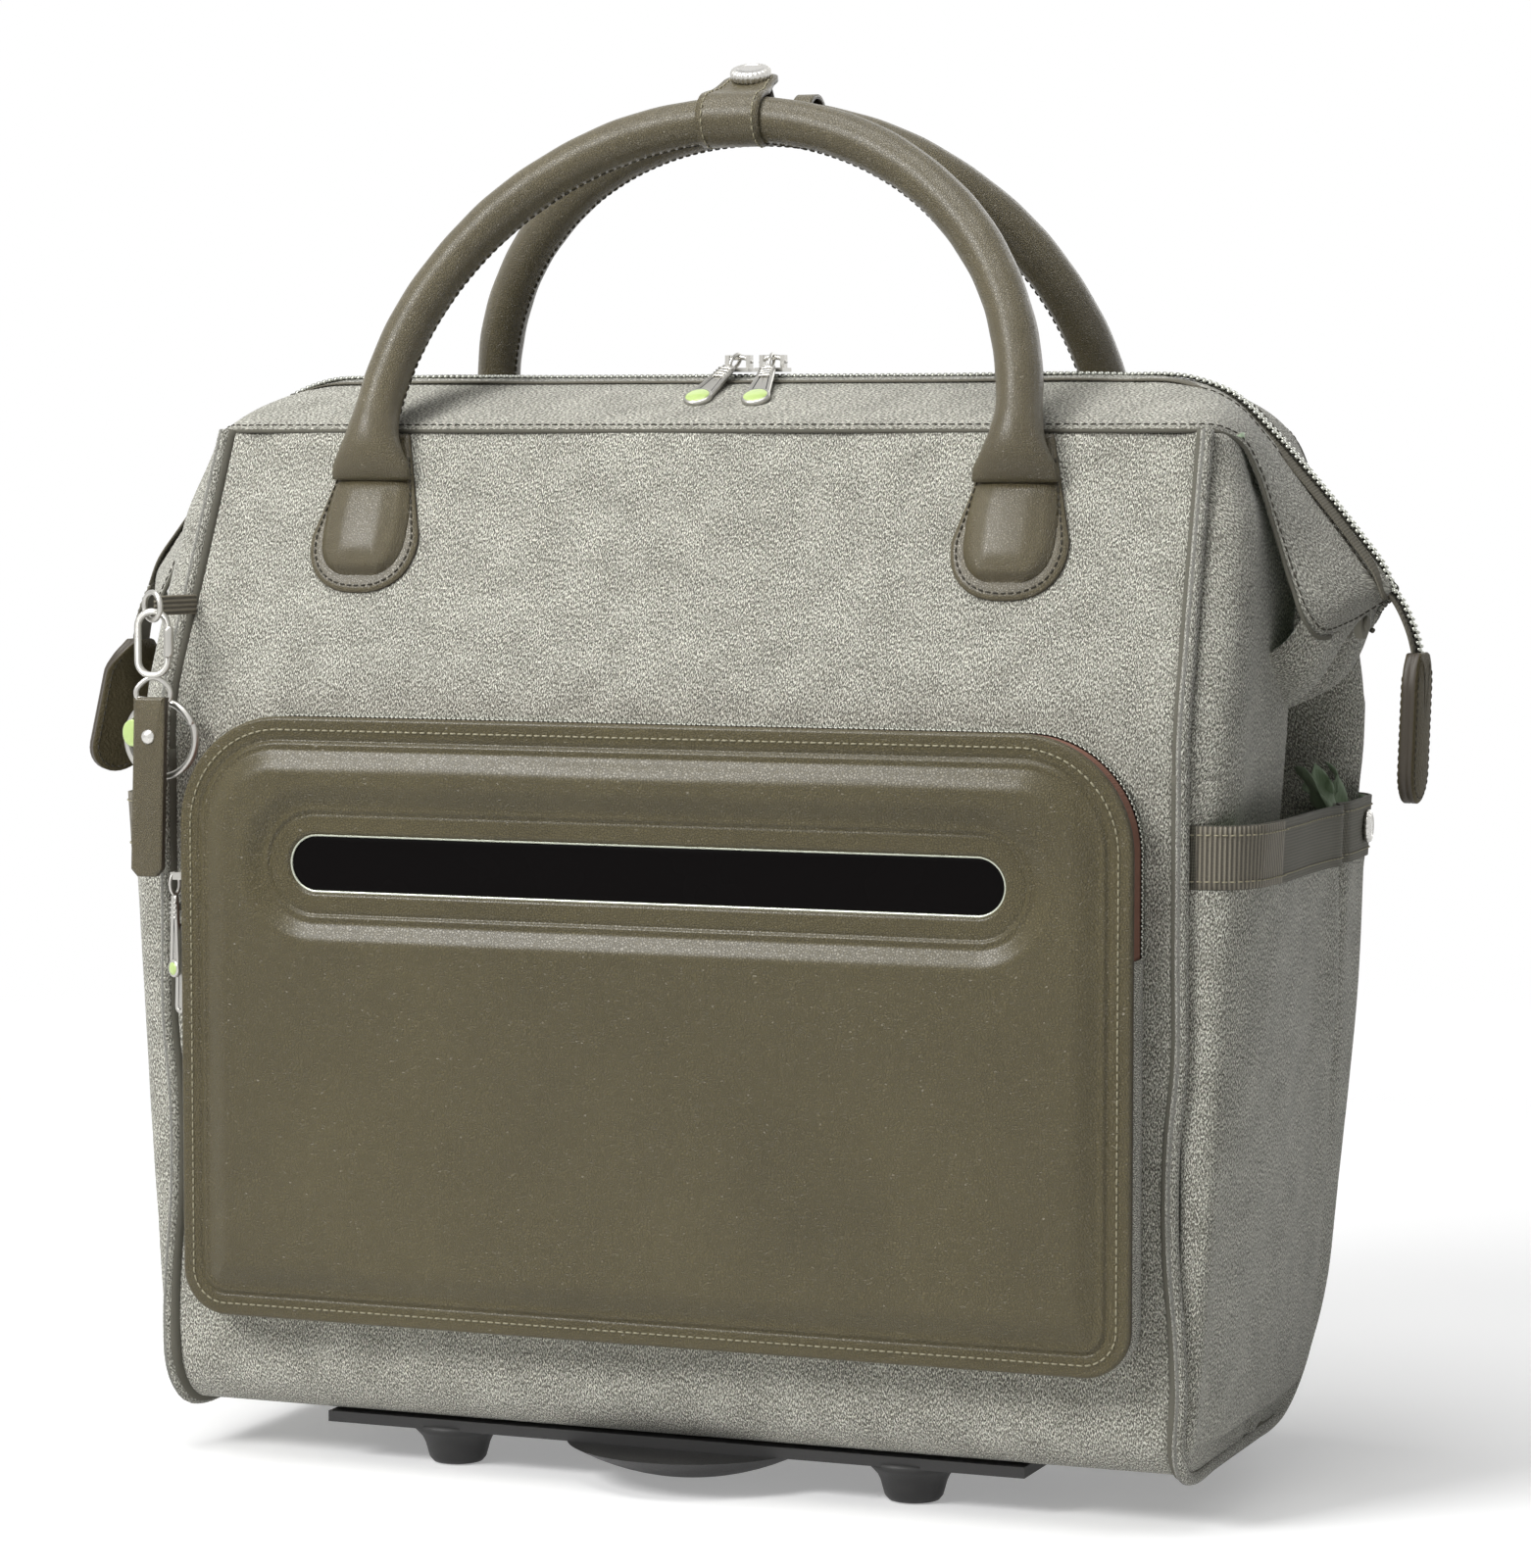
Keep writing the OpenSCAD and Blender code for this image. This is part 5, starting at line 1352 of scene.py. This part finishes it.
def pocket_rows(heights, side, out=0.0, count=90):
    rows = []
    for z in heights:
        run = spaced(smooth(pocket_section(z, out), 200), count)
        y = run[:, 1]
        crease = 38 + (MOUTH_Z - z) * 0.16
        dent = -3.2 * np.exp(-((y - crease) / 5.0)**2) + 1.6 * np.exp(-((y - crease + 11) / 7.0)**2)
        dent *= math.exp(-((MOUTH_Z - 30 - z) / 120)**2)
        wave = 0.9 * np.sin(y * 0.06 + z * 0.02) + 0.6 * np.sin(y * 0.13 - z * 0.05)
        wave *= np.sin(np.linspace(0, math.pi, count)) * min(1,
                                                             max(0, (z - 34) / 40)) * (0.3
                                                                                       + 0.7 * (z < 246))
        rows.append(np.column_stack([side * (run[:, 0] + dent + wave), y, np.full(count, z)]))
    return np.array(rows)


webbing = Finish("side_webbing", rough=0.7)
uv = webbing.place(uv="cloth")
rib = webbing.node("TexWave", {"bands_direction": "X"}, {"Vector": uv, "Scale": 330, "Distortion": 0.3})
cross = webbing.node("TexWave", {"bands_direction": "Y"}, {"Vector": uv, "Scale": 260, "Distortion": 0.3})
woven = rib * 0.6 + cross * 0.4
webbing.on(**{"Base Color": webbing.mix(woven, tone(48, 47, 38), tone(98, 95, 81))})
webbing.bump(woven, 0.0004, 0.8)
ribbed = Finish("ribbed_webbing", rough=0.65)
uv = ribbed.place(uv="cloth")
rib = ribbed.node("TexWave", {"bands_direction": "X"}, {"Vector": uv, "Scale": 165, "Distortion": 0.2})
fleck = ribbed.noise(ribbed.place((1, 3, 1), 0, "cloth"), 700)
ribbed.on(**{"Base Color": ribbed.mix(rib * 0.7 + fleck * 0.35, tone(42, 38, 31), tone(150, 143, 126))})
ribbed.bump(rib, 0.0006, 0.9)

for side, word in ((-1, "left"), (1, "right")):
    heights = np.concatenate([[30.5, 32], np.linspace(35, 247, 44), np.linspace(250, MOUTH_Z, 6)])
    rows = pocket_rows(heights, side)
    bag = cloth(f"{word}_bottle_pocket", rows, (side, 0, 0), [shell_canvas, mint_lining], 1.4)
    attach(bag, "root")
    cut(rows)
    crumple = []
    for v in np.linspace(0, 1, 12):
        u = np.linspace(0, 1, 40)
        fold = 3.4 * np.sin(u * 19 + v * 3) + 1.8 * np.sin(u * 41 - v * 5)
        crumple.append(np.column_stack([side * (238 - 12 * v + fold * v),
                                        44 + 34 * u + 2 * np.sin(v * 6 + u * 9),
                                        MOUTH_Z - 8 + v * (15 + 6 * np.sin(u * 13 + 1))
                                        + 1.5 * np.sin(u * 27) * v]))
    tuft = cloth(f"{word}_pocket_lining", crumple, (side, 0, 0), [mint_lining], 0.5)
    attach(tuft, "root")
    cut(crumple)
    rows = pocket_rows(np.linspace(MOUTH_Z - WEB_W, MOUTH_Z + 0.4, 9), side, 1.3)
    band = cloth(f"{word}_pocket_webbing", rows, (side, 0, 0), [webbing], 1.3)
    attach(band, "root")
    folded = cloth(f"{word}_webbing_end", pocket_rows(np.linspace(MOUTH_Z - WEB_W + 0.3, MOUTH_Z + 0.1, 9),
                                                      side, 2.4)[:, 1:22],
                   (side, 0, 0), [ribbed], 1.2)
    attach(folded, "root")
    facing = normals_of(rows, (side, 0, 0))
    lines = []
    for z in (MOUTH_Z - 3.2, MOUTH_Z - WEB_W + 3.2):
        line = pocket_rows([z], side, 1.5)[0]
        line[1:23, 0] += side * 1.1
        lines.append((line, facing[4]))
    sewing = stitches(f"{word}_webbing_stitches", lines, pale_thread, 3.2, 2.2, 0.3)
    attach(sewing, "root")
    at_snap = pocket_rows([260], side, 1.4)[0]
    spot = at_snap[int(np.argmin(np.abs(at_snap[:, 1] - 76)))]
    snap = lathe(f"{word}_pocket_snap", [(5.0, -0.6), (6.4, -0.2), (6.8, 0.8), (6.6, 1.9), (5.8, 2.5),
                                         (4.4, 2.7),
                                         (4.2, 2.3), (0.4, 2.5)], spot, (side, 0.12, 0), [silver], 96, 20,
                 0.4)
    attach(snap, "root")
    if side < 0:
        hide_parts("bottle_pockets")
        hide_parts("pocket_webbings")
        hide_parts("pocket_snaps")

# ---- Wing gussets ----
# Under each wing the bellows cloth is drawn in from the hem to the tuck, which hides the frame's pin.
for side, word in ((-1, "left"), (1, "right")):
    for end, jaw, flip in (("front", "front_jaw", 1), ("rear", "rear_jaw", -1)):
        hem = smooth([(246, -35, 349), (251, -31.5, 343.2), (257, -18, 344.6), (262, -4, 349.3),
                      (265, 5.2, 352.5)], 14)
        inner = smooth([(229, -34, 333), (228, -16, 318), (216, -2, 306), (201, 6, 301)], 14)
        rows = []
        for u in np.linspace(0, 1, 12):
            run = hem * (1 - u) + inner * u
            run = run + np.array([0.5, 0, -1.0]) * 8 * math.sin(math.pi * u) * np.sin(np.linspace(0.3,
                                                                                                  math.pi,
                                                                                                  14))[:,
                                                                                                       None]
            rows.append(run)
        rows = np.array(rows)
        if flip < 0:
            rows[:, :, 1] = 2 * MID_Y - rows[:, :, 1]
        rows[:, :, 0] *= side
        tuck = cloth(f"{word}_wing_gusset_{end}", rows, (side * 0.3, 0, -1), [shell_canvas, mint_lining],
                     0.9)
        cut(rows)
        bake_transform(tuck)

# ---- Key leash ----
# A snap hook on a D-ring in a webbing tab at the top left corner; from it hang a swivel, a folded leather
# strap with one domed rivet, a split ring and a small lime disc.
LEASH = np.array([-213.4, -107.0])
TURN = math.radians(21)
ALONG = np.array([math.cos(TURN), math.sin(TURN), 0])
AWAY = np.array([math.sin(TURN), -math.cos(TURN), 0])


def leash(a, z, h=0.0):
    return np.array([LEASH[0], LEASH[1], z]) + ALONG * a + AWAY * h


tab_rows = [[(x, y, z) for z in np.linspace(345.4, 353.4, 6)] for x, y in
            smooth([(-209.0, -77.5), (-210.6, -86), (-211.8, -95), (-212.2, -103.2), (-213.4, -105.4),
                    (-214.8, -103.0),
                    (-213.6, -95), (-212.2, -86), (-210.6, -77.5)], 40)]
far = np.array(tab_rows) - (-211.0, -92, 349)
tab = cloth("leash_webbing", tab_rows, far * (1, 0.1, 0), [ribbed], 1.0)
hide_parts("leash_anchor")
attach(tab, "root")
spin = math.radians(48)
ring_side = ALONG * math.cos(spin) + AWAY * math.sin(spin)
ring = [leash(0, 349.6 - 0.2) + ring_side * 5.6 * math.cos(a) + np.array([0, 0, 5.6 * math.sin(a)])
        for a in np.linspace(0, 2 * math.pi, 40, endpoint=False)]
d_ring = sweep("leash_d_ring", ring, round_section(1.15, 10), [nickel], closed=True)
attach(d_ring, "root")
oval = [leash(6.0 * math.sin(a), 341.3 + 6.0 * math.cos(a))
        for a in np.linspace(-math.pi / 2, math.pi / 2, 14)]
oval += [leash(6.0, z) for z in (338, 334, 330)]
oval += [leash(6.0 * math.sin(a), 327.3 + 6.0 * math.cos(a))
         for a in np.linspace(math.pi / 2, 1.5 * math.pi, 14)]
oval += [leash(-6.0, z) for z in (330, 334, 338)]
hook = sweep("leash_hook", oval, flat_section(3.0, 3.0, 4), [nickel], up=AWAY, closed=True)
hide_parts("snap_hook")
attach(hook, "leash")
gate = sweep("leash_hook_gate", [leash(6.4, z) for z in np.linspace(328.6, 341.2, 9)],
             round_section(2.1, 14), [nickel],
             scale=[0.8, 1, 1, 0.94, 0.94, 0.94, 1, 1, 0.8])
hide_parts("hook_gate")
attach(gate, "gate")
swivel = [leash(a, z) for a, z in ((-6.6, 312), (6.6, 312), (6.9, 315), (4.5, 318.4), (1.5, 320.2),
                                   (-1.5, 320.2),
                                   (-4.5, 318.4), (-6.9, 315))]
swivel = smooth(swivel + swivel[:1], 50)[:-1]
loop = sweep("leash_swivel", swivel, round_section(1.1, 10), [nickel], closed=True)
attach(loop, "strap")
corner = 3.0
outline = [(7, 1), (7, 74 - corner), (7 - corner, 74), (-7 + corner, 74), (-7, 74 - corner), (-7, 1),
           (7, 1)]


def strap_frame(a, b, h):
    fold = max(0.0, 1 - b / 12)
    return (LEASH[0] + a - 0.4 + b * -0.03, -108.0 - h * (1 + 0.35 * fold), 313.6 - b)


key_strap = slab("leash_strap", spaced(outline, 121)[:-1], strap_frame,
                 [(1.4, -1.9), (0.2, -1.7), (0, -1.2), (0, -0.2), (0.3, 0), (0, 0.2), (0, 1.2), (0.2, 1.7),
                  (1.4, 1.9)],
                 [olive, leather_edge], [0, 0, 0, 1, 1, 1, 1, 0, 0])
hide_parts("key_strap")
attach(key_strap, "strap")
rivet = lathe("strap_rivet", [(3.1, -0.1), (3.1, 0.5), (2.7, 1.2), (1.9, 1.8), (0.9, 2.1), (0.2, 2.15)],
              strap_frame(0, 17, 1.75), (0, -1, 0), [silver], 32)
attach(rivet, "strap")
coil = [(LEASH[0] + 15.4 * math.cos(a), -101.0 + 1.2 * a / (4 * math.pi), 295.3 + 15.4 * math.sin(a))
        for a in np.linspace(0.4, 0.4 + 4 * math.pi, 120)]
split = sweep("split_ring", coil, flat_section(3.0, 2.2, 2), [nickel], up=(0, 1, 0))
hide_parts("key_ring")
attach(split, "ring")
disc = lathe("ring_disc", [(5.2, -0.6), (5.6, 0), (5.4, 0.7), (4.6, 0.9), (0.2, 1.0)],
             (-225.5, -102.4, 297.5),
             (-0.35, -1, 0), [lime_enamel], 40)
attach(disc, "ring")

# ---- Pocket zip's pulls ----
# Two sliders of the pocket's zip meet at its left end; their long thin pulls hang straight down.
for word, z, y, length in (("upper", 240, -103.3, 41), ("lower", 227, -98.9, 44)):
    pull(f"{word}_pocket_zip_pull", (-206, y - 0.5, z), (0.0, 0.0, -1.0), (-0.45, -0.893, 0), length,
         f"{word}_pocket_pull",
         f"{word}_pocket_tab", 6.2, word == "upper")

# ---- Base tray, feet and wheels ----
# A moulded black tray is screwed under the base with two front feet; the wheels turn in housings let
# into the rear corners, on tyres of hard rubber over moulded hubs.
black_plastic = Finish("black_plastic", (36, 36, 36), 0.5)
where = black_plastic.place()
pits = black_plastic.noise(where, 1400, 2.0)
black_plastic.on(Roughness=0.42 + 0.2 * pits)
black_plastic.on(**{"Base Color": black_plastic.mix(black_plastic.noise(where, 20), tone(30, 30, 30),
                                                    tone(44, 43, 42))})
black_plastic.bump(pits, 0.00012, 0.6)
tyre_rubber = Finish("tyre_rubber", (34, 34, 34), 0.72)
tyre_rubber.on(Roughness=0.62 + 0.25 * tyre_rubber.noise(tyre_rubber.place(), 500))
tyre_rubber.bump(tyre_rubber.noise(tyre_rubber.place(), 1600), 0.0001, 0.5)
steel = Finish("frame_steel", (150, 150, 148), 0.35, Metallic=1.0)
steel.on(Roughness=0.28 + 0.2 * steel.noise(steel.place((1, 1, 12)), 260))
board = Finish("board", (40, 38, 35), 0.8)
board.bump(board.noise(board.place(), 700), 0.0001, 0.6)


def give(finish, *names):
    """Lays a finish on CAD parts whose shape stays."""
    for name in names:
        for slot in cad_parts[name].material_slots:
            slot.material = finish.material


sleeve = Finish("frame_sleeve", (150, 147, 134), 0.85)
give(black_plastic, "base_tray", "wheel_housings")
give(board, "base_board", "back_board")
give(sleeve, "front_frame", "rear_frame")
give(steel, "fasteners", "wheel_axles")
for x in (-99, 99):
    foot = lathe(f"{'left' if x < 0 else 'right'}_foot",
                 [(8.0, 0.0), (10.2, 0.5), (11.6, 2.2), (12.4, 5.0), (13.2, 8.0), (14.4, 10.6),
                  (16.6, 13.0), (18.0, 14.4),
                  (18.0, 16.6)], (x, -64, 0), (0, 0, 1), [black_plastic], 48)
    if x < 0:
        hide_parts("front_feet")
    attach(foot, "root")
for side, word in ((-1, "left"), (1, "right")):
    centre = (side * 181, 86, 28)
    tread = [(21.5, -9.0), (25.5, -9.6), (27.4, -8.2), (27.9, -6.0), (27.9, -4.6), (27.2, -4.2),
             (27.2, -3.4), (27.9, -3.0),
             (28.0, 3.0), (27.2, 3.4), (27.2, 4.2), (27.9, 4.6), (27.9, 6.0), (27.4, 8.2), (25.5, 9.6),
             (21.5, 9.0)]
    tyre = lathe(f"{word}_wheel_tyre", tread, centre, (1, 0, 0), [tyre_rubber], 72)
    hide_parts(f"{word}_tyre")
    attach(tyre, f"{word}_wheel")
    hub = lathe(f"{word}_wheel_hub", [(5.5, -10.5), (8.5, -10.5), (9.2, -8.6), (17.5, -7.2), (19.0, -8.8),
                                      (21.6, -8.8),
                                      (21.6, 8.8), (19.0, 8.8), (17.5, 7.2), (9.2, 8.6), (8.5, 10.5),
                                      (5.5, 10.5)],
                centre, (1, 0, 0), [black_plastic], 60)
    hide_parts(f"{word}_hub")
    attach(hub, f"{word}_wheel")
    for k in range(5):
        a = k * 2 * math.pi / 5
        spoke = sweep(f"{word}_hub_rib_{k}", [(side * 181 + side * 8.2, 86 + r * math.cos(a),
                                               28 + r * math.sin(a)) for r in (8.5, 12, 16, 19.4)],
                      flat_section(3.2, 2.4, 2), [black_plastic], up=(side, 0, 0))
        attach(spoke, f"{word}_wheel")

# ---- Trolley ----
# Three-stage flat-oval alloy tubes in a moulded foot and collar, with a moulded grip and its button.
alloy = Finish("tube_alloy", (184, 185, 186), 0.3, Metallic=1.0)
streak = alloy.noise(alloy.place((1, 1, 0.02)), 2200, 2.0)
alloy.on(Roughness=0.24 + 0.2 * streak)
alloy.bump(streak, 0.00004, 0.5)
give(alloy, "trolley_outer_tubes", "trolley_mid_tubes", "trolley_inner_tubes")
give(black_plastic, "trolley_collar", "trolley_foot", "trolley_grip")
button_plastic = Finish("button_plastic", (70, 70, 68), 0.45)
button_plastic.on(Roughness=0.4 + 0.2 * button_plastic.noise(button_plastic.place(), 900))
give(button_plastic, "trolley_button")

# ---- Lining and laptop divider ----
# A mint lining bag hangs in the case, clear of the wheels, with a padded sleeve board for a laptop.


def lining_ring(z, shrink=0.0):
    """The lining's outline at a height."""
    back = float(between(z, ((36, 55), (150, 55.5), (172, 70), (190, 77), (262, 77))))
    x, y0, y1, r = 206.5 - shrink, -85.5 + shrink, back - shrink, 14
    points = []
    for cx, cy, a0 in ((x - r, y1 - r, 0), (-x + r, y1 - r, 90), (-x + r, y0 + r, 180),
                       (x - r, y0 + r, 270)):
        points += [(cx + r * math.cos(math.radians(a0 + a)), cy + r * math.sin(math.radians(a0 + a)), z)
                   for a in np.linspace(0, 90, 8)]
    return spaced(points + points[:1], 180)


rows = [lining_ring(z) + np.column_stack([1.2 * np.sin(np.arange(180) * 0.21 + z * 0.05)] * 2
                                         + [np.zeros(180)])
        for z in np.linspace(262, 46, 40)]
rows += [lining_ring(z, s) for z, s in ((40, 1.5), (37, 5), (36, 12))]
floor_ring = lining_ring(36, 12)
heart = np.array([0, floor_ring[:, 1].mean(), 36])
rows += [heart + (floor_ring - heart) * k for k in (0.8, 0.6, 0.4, 0.2, 0.03)]
liner = cloth("lining_bag", rows, (0, 0, 1), [mint_lining], 0.5)
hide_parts("lining")
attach(liner, "root")
cut(rows)

points, faces = [], []
count_u, count_v = 44, 28
for face_side in (-1, 1):
    for i in range(count_v):
        for j in range(count_u):
            u, v = -1 + 2 * j / (count_u - 1), -1 + 2 * i / (count_v - 1)
            edge = (1 - abs(u)**8) * (1 - abs(v)**6)
            channel = 0.35 * (1 - abs(math.sin(u * 9.4)))**6
            thick = 0.4 + 2.5 * max(edge, 0)**0.4 - channel
            points.append((u * 191, 49 + face_side * thick, 171.5 + v * 113))
grid = np.arange(2 * count_u * count_v).reshape(2, count_v, count_u)
for side in (0, 1):
    for i in range(count_v - 1):
        for j in range(count_u - 1):
            quad = (grid[side, i, j], grid[side, i, j + 1], grid[side, i + 1, j + 1], grid[side, i + 1, j])
            faces.append(quad if side == 0 else quad[::-1])
border = [(0, j) for j in range(count_u)] + [(i, count_u - 1) for i in range(1, count_v)]
border += [(count_v - 1, j) for j in range(count_u - 2, -1, -1)]
border += [(i, 0) for i in range(count_v - 2, 0, -1)]
for (a, b), (c, d) in zip(border, border[1:] + border[:1]):
    faces.append((grid[0, c, d], grid[0, a, b], grid[1, a, b], grid[1, c, d]))
divider = make("laptop_sleeve_board", points, [tuple(int(v) for v in f) for f in faces], [mint_lining])
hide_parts("laptop_divider")
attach(divider, "root")
